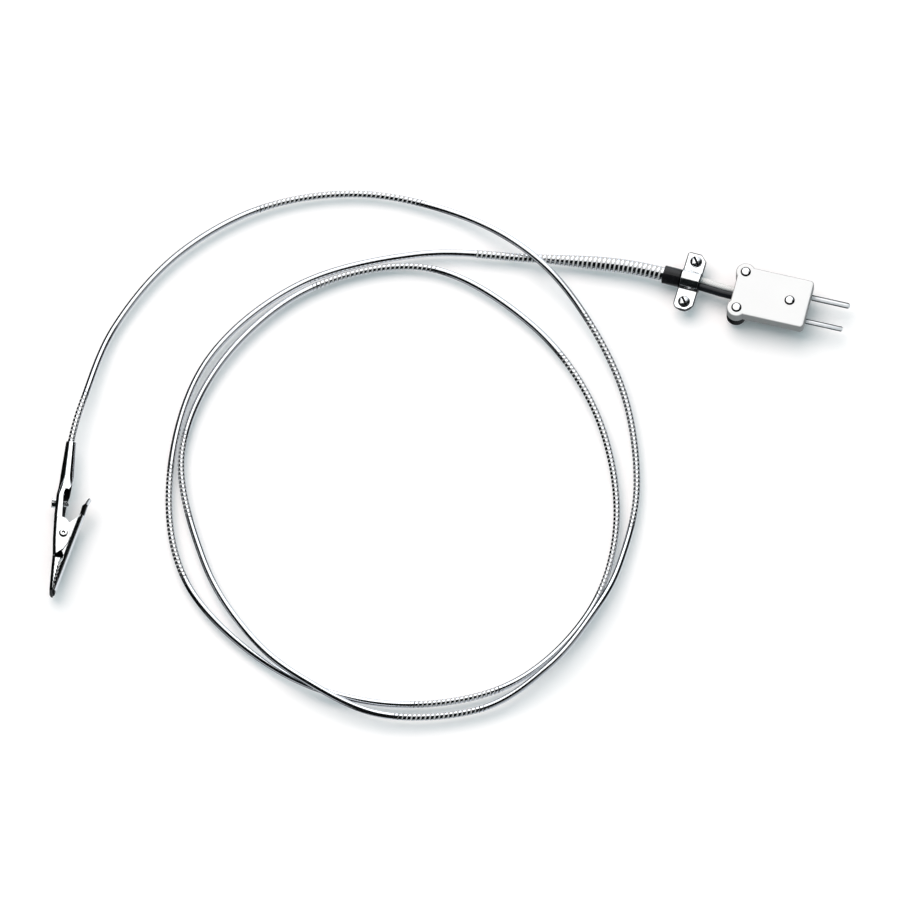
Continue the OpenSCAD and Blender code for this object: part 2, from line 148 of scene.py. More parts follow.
def lifted(place, b, z):
    """Placing of a piece that lies along the place's axis, b beside it and z above the table."""
    return lambda p: place(p + np.array([0, b, z]))


# ---------- meshes ----------
def surface(name, points, round_closed=True, along_closed=False, uv=None, ends=0):
    """Mesh of a grid of points in mm: rows run along the piece and columns run round it.

    Row i, column j joins row i + 1 and column j + 1. uv gives the unwrapped row and column values, which
    otherwise go evenly from 0 to 1. ends says how many of the first and the last row a flat face closes.
    """
    rows, cols = points.shape[:2]
    lines = rows + along_closed, cols + round_closed
    i, j = (a.ravel() for a in np.indices((lines[0] - 1, lines[1] - 1)))
    corners = [(i, j), (i + 1, j), (i + 1, j + 1), (i, j + 1)]
    faces = np.stack([a % rows * cols + b % cols for a, b in corners], axis=-1).tolist()
    if ends > 0:
        faces.append(list(range(cols)))
    if ends > 1:
        faces.append(list(range(rows * cols - 1, (rows - 1) * cols - 1, -1)))
    mesh = bpy.data.meshes.new(name)
    mesh.from_pydata((points.reshape(-1, 3) * MM).tolist(), [], faces)
    along, across = uv or (np.linspace(0, 1, n) for n in lines)
    flat = np.stack([np.stack([along[a], across[b]], axis=-1) for a, b in corners], axis=1).reshape(-1, 2)
    whole = np.zeros((len(mesh.loops), 2), dtype=np.float32)
    whole[: len(flat)] = flat
    mesh.uv_layers.new(name="UVMap").data.foreach_set("uv", whole.ravel())
    mesh.validate()
    return mesh


def linked(name, data):
    """A new object in the scene."""
    obj = bpy.data.objects.new(name, data)
    bpy.context.scene.collection.objects.link(obj)
    return obj


def piece(name, mesh, material, stands_for=(), body=PROBE, sharp=35.0):
    """A finished object: smooth shaded with sharp edges past an angle, riding on its body."""
    obj = linked(name, mesh)
    mesh.polygons.foreach_set("use_smooth", np.ones(len(mesh.polygons), dtype=bool))
    mesh.set_sharp_from_angle(angle=math.radians(sharp))
    mesh.materials.append(material)
    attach(obj, body)
    if stands_for:
        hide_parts(*stands_for)
    return obj


def marked(mesh, values):
    """Keeps one value for each point on the mesh, as "gap", for its material."""
    layer = mesh.attributes.new("gap", "FLOAT", "POINT")
    layer.data.foreach_set("value", np.asarray(values, dtype=np.float32).ravel())
    return mesh


def values_of(items, key, size=1, kind=np.float32):
    """One property of all the items, in a row."""
    found = np.zeros(len(items) * size, dtype=kind)
    items.foreach_get(key, found)
    return found


def joined(name, meshes):
    """Several meshes as one, with their UV maps and their point value "gap" kept."""
    whole = bpy.data.meshes.new(name)
    points, faces, uvs, gaps, base = [], [], [], [], 0
    for m in meshes:
        points.append(values_of(m.vertices, "co", 3).reshape(-1, 3))
        corners = base + values_of(m.loops, "vertex_index", kind=np.int32)
        starts = values_of(m.polygons, "loop_start", kind=np.int32)
        faces += [face.tolist() for face in np.split(corners, starts[1:])]
        uvs.append(values_of(m.uv_layers[0].data, "uv", 2))
        gaps.append(values_of(m.attributes["gap"].data, "value") if "gap" in m.attributes
                    else np.zeros(len(m.vertices), dtype=np.float32))
        base += len(m.vertices)
        bpy.data.meshes.remove(m)
    whole.from_pydata(np.concatenate(points).tolist(), [], faces)
    whole.uv_layers.new(name="UVMap").data.foreach_set("uv", np.concatenate(uvs))
    return marked(whole, np.concatenate(gaps))


def arc_length(path):
    """Distance of each point of a path from its start, along it."""
    step = np.linalg.norm(np.diff(path, axis=0), axis=1)
    return np.concatenate([[0.0], np.cumsum(step)])


def around(count):
    """Even turns round a circle."""
    return np.linspace(0, 2 * np.pi, count, endpoint=False)


def tube(name, path, radius, count):
    """Round run along a path: each row is the path's point plus radius times cos and sin of the turn angle on
    two directions square to the path. radius is one number, or one a row and column."""
    ahead = np.gradient(path, axis=0)
    ahead /= np.linalg.norm(ahead, axis=1, keepdims=True)
    side = np.cross(ahead, [0.0, 0.0, 1.0])
    side /= np.linalg.norm(side, axis=1, keepdims=True)
    up = np.cross(side, ahead)
    turn = around(count)[None, :, None]
    ring = np.cos(turn) * side[:, None, :] + np.sin(turn) * up[:, None, :]
    points = path[:, None, :] + np.broadcast_to(radius, (len(path), count))[:, :, None] * ring
    return surface(name, points, uv=(arc_length(path), np.linspace(0, 1, count + 1)), ends=2)


def lathe(name, profile, place, count=48, closed=False):
    """Turned shape: a profile of (distance along, radius) pairs swept round the axis of place, which turns
    (along, left, up) into a point of the whole."""
    along, radius = np.array(profile, float).T[..., None]
    turn = around(count)
    points = place(grid(along, radius * np.cos(turn), -radius * np.sin(turn)))
    return surface(name, points, along_closed=closed, ends=0 if closed else 2)


def rounded(corners, radius, steps=5):
    """Profile with its corners rounded: each inner corner becomes a short curve between two points set back
    along its sides by the radius."""
    corners = np.array(corners, float)
    t = np.linspace(0, 1, steps)[:, None]
    out = [corners[0]]
    for before, here, after in zip(corners[:-2], corners[1:-1], corners[2:]):
        sides = before - here, after - here
        reach = min(radius, *(0.49 * np.linalg.norm(side) for side in sides))
        p, q = (here + side / np.linalg.norm(side) * reach for side in sides)
        out.extend((1 - t) ** 2 * p + 2 * t * (1 - t) * here + t ** 2 * q)
    out.append(corners[-1])
    return np.array(out)


def eased(w):
    """Soft step from 0 to 1."""
    return w * w * (3 - 2 * w)


def bevelled(obj, width, angle=35.0):
    """Softens an object's hard edges: doubles are welded, then edges past the angle are rolled."""
    obj.modifiers.new("weld", "WELD").merge_threshold = 1e-6
    bevel = obj.modifiers.new("rolled edges", "BEVEL")
    bevel.width = width * MM
    bevel.segments = 2
    bevel.limit_method = "ANGLE"
    bevel.angle_limit = math.radians(angle)
    bevel.harden_normals = True


def thickened(obj, sheet):
    """Gives a plated sheet its thickness, away from its outer face; its cut edges and inner side are painted
    near-black as shade.
    """
    obj.data.materials.append(shaded_underside())
    solid = obj.modifiers.new("sheet", "SOLIDIFY")
    solid.material_offset = 1
    solid.material_offset_rim = 1
    solid.thickness = sheet * MM
    solid.offset = -1
    solid.use_even_offset = True


# ---------- materials ----------
class Nodes:
    """A node tree, built a node at a time. An input is given a value or another node's output."""

    def __init__(self, tree):
        self.nodes, self.links = tree.nodes, tree.links

    def feed(self, socket, value):
        """Gives an input its value or its link; a colour comes without its alpha."""
        if isinstance(value, bpy.types.NodeSocket):
            self.links.new(value, socket)
        else:
            socket.default_value = (*value, 1.0) if socket.type == "RGBA" else value

    def node(self, kind, inputs=None, **settings):
        """A new node, with some inputs by name or number and with settings of its own."""
        made = self.nodes.new(kind)
        for key, value in settings.items():
            setattr(made, key, value)
        for key, value in (inputs or {}).items():
            self.feed(made.inputs[key], value)
        return made

    def math(self, operation, *values):
        """Result of an operation on one value or two; with more, on the result so far and the next value."""
        done = self.node("ShaderNodeMath", dict(enumerate(values[:2])), operation=operation).outputs[0]
        return self.math(operation, done, *values[2:]) if len(values) > 2 else done

    def spread(self, value, low, high, start=0.3, end=0.7, way="LINEAR"):
        """A value from low to high as the input goes from start to end."""
        ends = {"From Min": start, "From Max": end, "To Min": low, "To Max": high}
        made = self.node("ShaderNodeMapRange", {"Value": value, **ends}, interpolation_type=way)
        return made.outputs["Result"]

    def mix(self, value, dark, light):
        """Colour from dark to light by a value."""
        return self.node("ShaderNodeMix", {0: value, 6: dark, 7: light}, data_type="RGBA").outputs[2]


class Finish(Nodes):
    """A material, made a step at a time."""

    def __init__(self, name, colour, **inputs):
        self.material = bpy.data.materials.new(name)
        self.material.use_nodes = True
        self.material.diffuse_color = (*colour, 1.0)
        super().__init__(self.material.node_tree)
        self.shader = self.nodes["Principled BSDF"]
        self.place = self.node("ShaderNodeTexCoord").outputs
        self.shade(Base_Color=colour, **inputs)

    def shade(self, **inputs):
        """Feeds the shader's inputs, named with _ for a space, and returns the material."""
        for key, value in inputs.items():
            self.feed(self.shader.inputs[key.replace("_", " ")], value)
        return self.material

    def noise(self, scale, detail=3.0, stretch=(1.0, 1.0, 1.0), roughness=0.5):
        """Noise on Object coordinates, with scale in features a metre and a stretch along each axis."""
        place = self.node("ShaderNodeMapping", {"Vector": self.place["Object"], "Scale": stretch}).outputs[0]
        return self.node("ShaderNodeTexNoise", {"Vector": place, "Scale": scale, "Detail": detail,
                                                "Roughness": roughness}).outputs["Fac"]

    def gap(self):
        """The piece's point value "gap", 0 where it has none."""
        return self.node("ShaderNodeAttribute", attribute_name="gap").outputs["Fac"]

    def bump(self, value, height):
        """Raises the surface by the value times a height in metres, over any bump already there."""
        made = self.node("ShaderNodeBump", {"Strength": 1.0, "Distance": height, "Height": value})
        normal = self.shader.inputs["Normal"]
        if normal.is_linked:
            self.links.new(normal.links[0].from_socket, made.inputs["Normal"])
        self.links.new(made.outputs["Normal"], normal)


def plated(name, colour, roughness, marks=(1.0, 1.0, 1.0)):
    """Bright nickel plate: nearly even, with faint rolling marks along one way and a fine ripple. Where the
    point value "gap" is 1, as in a screw's slot, a crease, a rim or a nose's end, the colour is painted
    near-black: painted shade."""
    f = Finish(name, colour, Metallic=1.0)
    gap = f.gap()
    rough = f.math("ADD", f.spread(f.noise(900.0, 4.0, marks), roughness * 0.6, roughness * 1.6),
                   f.spread(gap, 0.0, 0.3, 0.0, 1.0))
    # painted shade: the colour falls to near-black where "gap" is high
    tone = f.math("MULTIPLY", f.spread(f.noise(350.0), 0.93, 1.0, 0.0, 1.0),
                  f.spread(gap, 1.0, 0.015, 0.25, 0.8))
    f.bump(f.noise(1500.0, 2.0, marks), 0.000006)
    return f.shade(Roughness=rough, Base_Color=f.mix(tone, BLACK, colour))


def shaded_underside():
    """Inner side and cut edges of a plated strip: near-black as painted shade, with the shear's fine lines.
    """
    found = bpy.data.materials.get("unpolished plate")
    if found:
        return found
    # painted shade: this near-black colour stands in for the shade inside the channel and on the cut edges
    f = Finish("unpolished plate", (0.04, 0.041, 0.043), Metallic=1.0)
    lines = f.noise(2600.0, 3.0, (1.0, 1.0, 0.2))
    f.bump(lines, 0.000008)
    return f.shade(Roughness=f.spread(lines, 0.32, 0.5),
                   Base_Color=f.mix(lines, (0.02, 0.021, 0.022), (0.06, 0.062, 0.065)))


def drawn(name, colour, roughness, marks):
    """Drawn or turned metal: long fine lines along the marks' short axis."""
    f = Finish(name, colour, Metallic=1.0)
    lines = f.noise(2500.0, 4.0, marks)
    f.bump(lines, 0.000005)
    return f.shade(Roughness=f.spread(lines, roughness * 0.7, roughness * 1.5),
                   Base_Color=f.mix(f.noise(500.0, 4.0), [c * 0.82 for c in colour], colour))


def wound(name, colour, roughness, gap_grey):
    """Strip-wound steel: the point value "gap" is 0 on the flat of a turn, about 0.4 on the turn's edge,
    which is painted near-black as painted shade, and 1 deep in an open gap, where the dull inner side of
    the strip shows pale."""
    f = Finish(name, colour)
    gap = f.gap()
    flat = f.spread(gap, 1.0, 0.0, 0.22, 0.36)
    deep = f.spread(gap, 0.0, 1.0, 0.4, 0.55)
    stains = f.noise(260.0, 4.0)
    # painted shade: a turn's edge, between the flat and the deep gap, is painted near-black
    turns = f.mix(f.math("MULTIPLY", flat, f.spread(stains, 0.92, 1.0)), (0.02, 0.021, 0.022), colour)
    rough = f.math("ADD", f.spread(flat, 0.5, roughness, 0.0, 1.0), f.spread(stains, 0.0, 0.04))
    f.bump(f.noise(3500.0), 0.000004)
    return f.shade(Roughness=rough, Metallic=f.math("SUBTRACT", 1.0, deep),
                   Base_Color=f.mix(deep, turns, [gap_grey] * 3))


def moulded(name, colour, roughness, shine=0.5):
    """Moulded plastic: a fine spark-eroded grain, with slow changes of sheen and tint. The side walls, where
    the point value "gap" is 1, are matt and painted darker than the top: painted shade."""
    f = Finish(name, colour, Specular_IOR_Level=shine)
    wall = f.gap()
    rough = f.math("ADD", f.spread(f.noise(180.0), roughness * 0.85, roughness * 1.2),
                   f.spread(wall, 0.0, 0.2, 0.0, 1.0))
    # painted shade: the side walls' colour is darkened to about a third of the top's
    tone = f.math("MULTIPLY", f.spread(f.noise(90.0, 4.0), 0.965, 1.0), f.spread(wall, 1.0, 0.34, 0.15, 0.8))
    f.bump(f.noise(2200.0, 5.0, roughness=0.7), 0.000012)
    return f.shade(Roughness=rough, Base_Color=f.mix(tone, BLACK, colour))


def rubbery(name, colour, roughness):
    """Black rubber or shrink tube: fine pits, dusty patches and a soft sheen."""
    f = Finish(name, colour, Specular_IOR_Level=0.28)
    dust = f.noise(700.0, 5.0)
    tone = f.mix(f.spread(dust, 0.0, 1.0, 0.35, 0.8), colour, [c * 1.6 + 0.001 for c in colour])
    f.bump(f.noise(1800.0, 4.0), 0.00001)
    return f.shade(Roughness=f.spread(dust, roughness * 0.8, roughness * 1.3), Base_Color=tone)


def braided(name, colour, turns, rounds):
    """Braided glass fibre: two sets of strands cross on the UV map, each the size of a sine of the sum or of
    the difference of its two values, and the higher one shows."""
    f = Finish(name, colour, Roughness=0.62, Sheen_Weight=0.25)
    along, across, _ = f.node("ShaderNodeSeparateXYZ", {0: f.place["UV"]}).outputs
    a = f.math("MULTIPLY", along, turns)
    b = f.math("MULTIPLY", across, rounds)
    strands = [f.math("ABSOLUTE", f.math("SINE", f.math("MULTIPLY", f.math(way, a, b), 2 * math.pi)))
               for way in ("ADD", "SUBTRACT")]
    weave = f.math("MAXIMUM", *strands)
    tone = f.mix(f.spread(weave, 0.0, 1.0, 0.35, 0.95), [c * 0.62 for c in colour], colour)
    f.bump(weave, 0.00006)
    f.bump(f.noise(9000.0), 0.00001)
    return f.shade(Base_Color=tone)


# ---------- values a user would change ----------
def metres(name, text, default):
    """A length that a user may change."""
    return FloatProperty(name=name, description=text, default=default, unit="LENGTH")


def degrees(name, text, default):
    """An angle that a user may change."""
    return FloatProperty(name=name, description=text, default=math.radians(default), subtype="ANGLE")


def tint(name, text, default):
    """A colour that a user may change."""
    return FloatVectorProperty(name=name, description=text, default=default, subtype="COLOR")


class StageSizes(bpy.types.PropertyGroup):
    """How the camera looks at the probe"""
    lens: FloatProperty(name="Lens", description="Focal length of the camera", default=1600.0, unit="CAMERA")
    elevation: degrees("Elevation", "Camera height above the horizon", 66.0)
    turn: degrees("Turn", "Turn of the view to the left", 5.5)
    field: metres("Field", "Width that the camera sees", 0.2727)


class LeadSizes(bpy.types.PropertyGroup):
    """Diameters and lengths of the lead"""
    hose: metres("Hose", "Outer diameter of the hose", 0.0021)
    pitch: metres("Pitch", "Distance between two turns of the strip", 0.00119)
    relief: metres("Relief", "Outer diameter of the bend relief", 0.0043)
    relief_length: metres("Relief length", "Length of the bend relief", 0.062)
    pale: metres("Pale wire", "Diameter of the braided wire", 0.0019)
    dark: metres("Dark wire", "Diameter of the dark wire", 0.0023)


class FinishColours(bpy.types.PropertyGroup):
    """Colours of the main finishes"""
    plate: tint("Plate", "Nickel plate", (0.88, 0.885, 0.89))
    steel: tint("Hose steel", "Strip of the hose", (0.80, 0.81, 0.83))
    black: tint("Black", "Sleeve, bush and plug base", (0.006, 0.006, 0.007))
    white: tint("White", "Plug cover", (0.86, 0.86, 0.855))


# ---------- the lead's line ----------
# Middle of the hose, in metres, from the clip's neck round both loops nearly to the clamp.
ROUTE_M = [
    (-0.0019, 0.014, 0.0038), (-0.0019, 0.026, 0.0038), (0.0005, 0.041, 0.0029), (0.0074, 0.0663, 0.00105),
    (0.0238, 0.0917, 0.00105), (0.0483, 0.11, 0.00105), (0.078, 0.1174, 0.00105), (0.1083, 0.1128, 0.002),
    (0.1316, 0.1001, 0.0054), (0.1492, 0.0826, 0.003), (0.1636, 0.0577, 0.00105), (0.17, 0.028, 0.00105),
    (0.1673, 0.0026, 0.002), (0.1609, -0.0152, 0.0038), (0.1489, -0.0344, 0.0038),
    (0.1301, -0.0493, 0.0018), (0.101, -0.0545, 0.0026), (0.076, -0.046, 0.0045), (0.0577, -0.0318, 0.0028),
    (0.0419, -0.0086, 0.00105), (0.0317, 0.0255, 0.00105), (0.041, 0.0582, 0.00105),
    (0.0654, 0.0848, 0.00105), (0.1001, 0.0948, 0.00105), (0.1333, 0.0789, 0.00105),
    (0.1553, 0.0519, 0.00105), (0.1649, 0.0175, 0.00105), (0.1594, -0.0143, 0.00105),
    (0.1375, -0.0405, 0.00105), (0.103, -0.0501, 0.00105), (0.0681, -0.0424, 0.00105),
    (0.0383, -0.0175, 0.00105), (0.0289, 0.017, 0.00105), (0.0356, 0.0562, 0.00105),
    (0.0609, 0.085, 0.00105), (0.0964, 0.0988, 0.0014), (0.13, 0.1007, 0.0018), (0.157, 0.1006, 0.0024),
]

# Stretches of the hose, from and to in mm along it, where a bend holds the turns open.
OPEN_MM = [(11, 28), (114, 163), (229, 300), (380, 405), (503, 530), (596, 632), (682, 765), (810, 835),
           (922, 958)]
OPEN_STRETCH = 0.17  # how much longer a wholly open turn is
HOSE_REST = 1.05     # height of the hose's middle, in mm, where it lies on the table
LINE_STEPS = 24      # points of the line from one place of the route to the next
RELIEF_PITCH = 1.4   # from one turn of the bend relief to the next, in mm
HOSE_SIDES = 14      # points round the hose
RELIEF_SIDES = 30    # points round the bend relief
WIRE_SIDES = 28      # points round a wire
WIRE_B = 1.1         # each wire, in mm from the lead's axis
WIRE_REACH = 10.6    # length of the wires' soft step from the bush's front to the plug's back, in mm
WIRE_STEPS = 60      # points of a wire's soft step


def hose_line():
    """Smooth line in mm through the route: between two points it is the cubic that leaves each one along the
    line through its two neighbours. The first and last stretches are straight, and nothing lies under the
    surface."""
    p = np.vstack([np.array(ROUTE_M) / MM, by_clamp([(-9.0, 0, CLAMP_Z), (-4.0, 0, CLAMP_Z)])])
    a, b, c, d = (q[:, None, :] for q in (p[:-3], p[1:-2], p[2:-1], p[3:]))
    t = np.linspace(0, 1, LINE_STEPS, endpoint=False)[None, :, None]
    curve = 0.5 * (2 * b + (c - a) * t + (2 * a - 5 * b + 4 * c - d) * t ** 2
                   + (3 * b - a - 3 * c + d) * t ** 3)
    straight = np.linspace(0, 1, LINE_STEPS)[:, None]
    first, last = (p[k] + (p[k + 1] - p[k]) * straight for k in (0, len(p) - 2))
    line = np.vstack([first[:-1], curve.reshape(-1, 3), last])
    line[:, 2] = np.maximum(line[:, 2], HOSE_REST)
    return line


def evenly(path, places):
    """Points of a path at the given distances along it."""
    run = arc_length(path)
    return grid(*(np.interp(places, run, path[:, k]) for k in range(3)))


def wire_line(b):
    """Line of one wire, in even steps: straight through the bush, then a soft step over to its place in the
    plug."""
    t = np.linspace(0, 1, WIRE_STEPS)
    w = eased(t)[:, None]
    from_clamp = by_clamp(grid(3.2 + t * WIRE_REACH, b, CLAMP_Z))
    to_plug = by_plug(grid(PLUG_BACK - (1 - t) * WIRE_REACH, b, SPLIT_Z))
    start = by_clamp([(-3.95, b, CLAMP_Z)])
    end = by_plug([(3.0, b, SPLIT_Z)])
    line = np.vstack([start, (1 - w) * from_clamp + w * to_plug, end])
    return evenly(line, np.linspace(0, arc_length(line)[-1], 2 * WIRE_STEPS))


def opened(s):
    """How open the turns are at a distance along the hose, from 0 to 1: it rises over 8 mm at each end of a
    stretch."""
    start, end = np.array(OPEN_MM, float).T
    s = s[..., None]
    return np.clip(np.minimum(s - start + 4, end + 4 - s) / 8, 0, 1).max(axis=-1)


def wound_run(name, line, places, radius, turns, count, depth, part):
    """Round run with a helical groove: a point is lowered by depth times a wedge that is 1 in the gap's
    middle and 0 from a part of the pitch away. turns counts the turns of the strip at each place, and the gap
    moves back by one of them on its way round the run, toward its right side."""
    phase = (turns[:, None] - np.linspace(0, 1, count, endpoint=False)) % 1.0
    gap = np.clip(1 - np.minimum(phase, 1 - phase) / part, 0, 1)
    radius, depth = (np.broadcast_to(v, places.shape)[:, None] for v in (radius, depth))
    return tube(name, evenly(line, places), radius - depth * gap, count), gap


# ---------- stage ----------
# The camera: the place in the picture's middle, in metres, and the width of its sensor.
LOOK_AT = np.array([0.1124, 0.03575, 0.0])
SENSOR_MM = 36.0

# The floor, in mm, and how much light of its own it shows the camera.
FLOOR_HALF = 12000.0
FLOOR_Z = -2.0
FLOOR_GLOW = 0.06

# The soft lamp, in metres and watts: its place, the place it faces, its size, its power and its colour.
SOFT_AT = (-1.2, 1.45, 3.9)
SOFT_FACES = (0.11, 0.03, 0.0)
SOFT_SIZE = 4.6
SOFT_POWER = 161.0
SOFT_COLOUR = (1.0, 0.83, 0.79)

# The overhead panel, in metres: its middle, its size, its near edge, its height and its brightness.
PANEL_X = 0.055
PANEL_WIDTH = 0.64
PANEL_LENGTH = 3.2
PANEL_NEAR = 0.025
PANEL_HEIGHT = 0.5
PANEL_LEVEL = 1.03


class PROBE_OT_stage(bpy.types.Operator):
    """Camera, floor, soft light and the surroundings that the metal shows"""
    bl_idname = "probe.stage"
    bl_label = "Stage"

    def execute(self, context):
        scene = context.scene
        sizes = scene.probe_stage
        ahead = np.array([-math.sin(sizes.turn), math.cos(sizes.turn), 0.0]) * math.cos(sizes.elevation)
        ahead[2] = -math.sin(sizes.elevation)
        camera = linked("camera", bpy.data.cameras.new("camera"))
        camera.data.lens = sizes.lens
        camera.data.sensor_width = SENSOR_MM
        camera.data.clip_start = 0.05
        camera.data.clip_end = 100.0
        camera.location = LOOK_AT - ahead * sizes.field * sizes.lens / SENSOR_MM
        faced(camera, ahead)
        scene.camera = camera
        scene.view_settings.view_transform = "Standard"
        floor()
        lamps()
        scene.world = surroundings()
        return {"FINISHED"}


def faced(obj, ahead):
    """Turns a camera or lamp to look along a direction, with its top up."""
    obj.rotation_mode = "QUATERNION"
    obj.rotation_quaternion = Vector(ahead).to_track_quat("-Z", "Y")


def floor():
    """White table top, a shade whiter to the camera. It lies a little under the lead, so that the shadows are
    as wide and pale as on a thick soft cloth."""
    ends = np.array([-FLOOR_HALF, FLOOR_HALF])
    mesh = surface("floor", grid(ends[:, None], ends[None, :], FLOOR_Z), round_closed=False)
    f = Finish("table white", (0.97, 0.97, 0.97), Roughness=0.9, Specular_IOR_Level=0.0, Emission_Color=WHITE)
    seen = f.node("ShaderNodeLightPath").outputs["Is Camera Ray"]
    mesh.materials.append(f.shade(Emission_Strength=f.math("MULTIPLY", seen, FLOOR_GLOW)))
    obj = linked("floor", mesh)
    obj.visible_glossy = False


def area_lamp(name, shape, size, power, place):
    """An area lamp that the camera doesn't see."""
    lamp = linked(name, bpy.data.lights.new(name, "AREA"))
    lamp.data.shape = shape
    lamp.data.size = size
    lamp.data.energy = power
    lamp.location = place
    lamp.visible_camera = False
    return lamp


def lamps():
    """One large soft lamp from the upper left, behind the object, and a long bright panel overhead that only
    polished surfaces show."""
    soft = area_lamp("soft lamp", "DISK", SOFT_SIZE, SOFT_POWER, SOFT_AT)
    soft.data.color = SOFT_COLOUR
    faced(soft, Vector(SOFT_FACES) - soft.location)
    soft.visible_glossy = False
    panel = area_lamp("panel", "RECTANGLE", PANEL_WIDTH, 4.0 * PANEL_WIDTH * PANEL_LENGTH * PANEL_LEVEL,
                      (PANEL_X, PANEL_NEAR + PANEL_LENGTH / 2, PANEL_HEIGHT))
    panel.data.size_y = PANEL_LENGTH
    panel.visible_diffuse = False


def surroundings():
    """White to the camera, a cool fill from above for soft light, and for reflections a dark room with a
    white wall behind, a grey one on the right, a grey corner at the near left and a white table below, which
    comes up higher on the right side and stops short of the left one."""
    world = bpy.data.worlds.new("surroundings")
    world.use_nodes = True
    w = Nodes(world.node_tree)
    w.nodes.clear()
    path = w.node("ShaderNodeLightPath").outputs
    place = w.node("ShaderNodeTexCoord").outputs["Generated"]
    x, y, z = w.node("ShaderNodeSeparateXYZ", {0: place}).outputs

    def ramp(value, start, end, low, high):
        """A soft change from low to high as a direction's value goes from start to end."""
        return w.spread(value, low, high, start, end, "SMOOTHSTEP")

    def light(colour, strength):
        """Light of one colour from all round."""
        return w.node("ShaderNodeBackground", {"Color": colour, "Strength": strength}).outputs[0]

    def chosen(ray, other, this):
        """The second light for one kind of ray, and the first for all others."""
        return w.node("ShaderNodeMixShader", {0: path[ray], 1: other, 2: this}).outputs[0]

    table = ramp(z, -0.6, -0.35, 0.75, 0.0)
    right = w.math("MULTIPLY", ramp(z, -0.42, -0.24, 1.0, 0.0), ramp(x, 0.0, 0.35, 0.0, 0.9))
    back = w.math("MULTIPLY", ramp(w.math("ABSOLUTE", x), 0.4, 0.64, 1.0, 0.0), ramp(y, 0.3, 0.55, 0.0, 1.0))
    side = w.math("MULTIPLY", ramp(x, 0.35, 0.6, 0.0, 0.4), ramp(y, -0.15, 0.1, 1.0, 0.0),
                  ramp(z, 0.4, 0.65, 1.0, 0.0))
    keep = w.math("MAXIMUM", ramp(x, -0.3, -0.1, 0.0, 1.0), ramp(z, -0.1, 0.1, 0.0, 1.0))
    far = w.math("MULTIPLY", w.math("MAXIMUM", back, table), keep)
    near = w.math("MULTIPLY", ramp(x, -0.5, -0.3, 1.0, 0.0), ramp(y, -0.55, -0.35, 0.55, 0.0),
                  ramp(z, -0.12, 0.04, 1.0, 0.0))
    fill = light((0.78, 0.955, 1.0), ramp(z, 0.0, 0.6, 0.038, 0.675))
    room = light((0.90, 0.95, 1.0), w.math("MAXIMUM", right, side, near, far, 0.002))
    seen = chosen("Is Camera Ray", fill, light((0.8, 0.8, 0.8), 1.0))
    w.node("ShaderNodeOutputWorld", {"Surface": chosen("Is Glossy Ray", seen, room)})
    return world


# ---------- lead ----------
class PROBE_OT_hose(bpy.types.Operator):
    """Strip-wound hose with its bend relief and black sleeve"""
    bl_idname = "probe.hose"
    bl_label = "Hose"

    def execute(self, context):
        sizes = context.scene.probe_lead
        colours = context.scene.probe_colours
        line = hose_line()
        total = arc_length(line)[-1]
        pitch = sizes.pitch / MM
        radius = sizes.hose / MM / 2
        places = self.rows(total, pitch)
        held = opened(places)
        step = np.diff(places) / (1 + OPEN_STRETCH * (held[1:] + held[:-1]) / 2)
        turns = np.concatenate([[0.0], np.cumsum(step)]) / pitch
        mesh, gap = wound_run("hose", line, places, radius, turns, HOSE_SIDES, 0.01 + 0.08 * held, 0.29)
        # painted shade: where the turns stand open, their edges are painted dark
        marked(mesh, gap * (0.1 + 0.9 * held)[:, None])
        piece("hose", mesh, wound("hose strip", colours.steel, 0.08, 0.55),
              stands_for=("armour_hose",), sharp=80)
        self.relief(line, total, radius, sizes, wound("relief strip", colours.steel, 0.1, 0.6))
        self.sleeve(colours)
        return {"FINISHED"}

    def rows(self, total, pitch):
        """Places of the hose's rows: close together where the turns stand open, far apart in the relief."""
        s = np.linspace(0, total, 20001)
        density = np.where(s > total - 58, 1.0, 4.5 + 7.0 * opened(s)) / pitch
        count = np.concatenate([[0.0], np.cumsum((density[1:] + density[:-1]) / 2 * np.diff(s))])
        return np.interp(np.linspace(0, count[-1], int(count[-1])), count, s)

    def relief(self, line, total, start, sizes, steel):
        """Close-wound coil over the hose's last stretch: its radius grows along the lead, from the hose's."""
        length = sizes.relief_length / MM
        end = sizes.relief / MM / 2
        places = np.linspace(total - length, total - 0.5, int(length / RELIEF_PITCH) * 12 + 1)
        grown = np.interp(places - places[0], [0, 20, 26, 36, 40, 62],
                          [start + 0.15, start + 0.3, start + 0.55, end - 0.05, end, end])
        places = np.concatenate([places[:1] - 0.02, places, places[-1:] + 0.02])
        grown = np.concatenate([[start + 0.02], grown, [start + 0.02]])
        depth = np.full(len(places), 0.1)
        depth[[0, -1]] = 0.0
        turns = places / RELIEF_PITCH
        mesh, gap = wound_run("bend relief", line, places, grown, turns, RELIEF_SIDES, depth, 0.3)
        # painted shade: the relief's turn edges are painted dark
        marked(mesh, gap)
        piece("bend_relief_coil", mesh, steel, stands_for=("bend_relief",), sharp=80)

    def sleeve(self, colours):
        """Black sleeve with rounded rims over the end of the relief."""
        outer = rounded([(-8.45, 2.25), (-8.45, 2.8), (-3.15, 2.8), (-3.15, 2.3)], 0.35)
        inner = [(-3.15, 1.3), (-4.0, 1.3), (-4.0, 2.25)]
        mesh = lathe("sleeve", np.vstack([outer, inner]), lifted(by_clamp, 0, CLAMP_Z), closed=True)
        piece("sleeve", mesh, rubbery("sleeve black", colours.black, 0.16),
              stands_for=("armour_sleeve",))


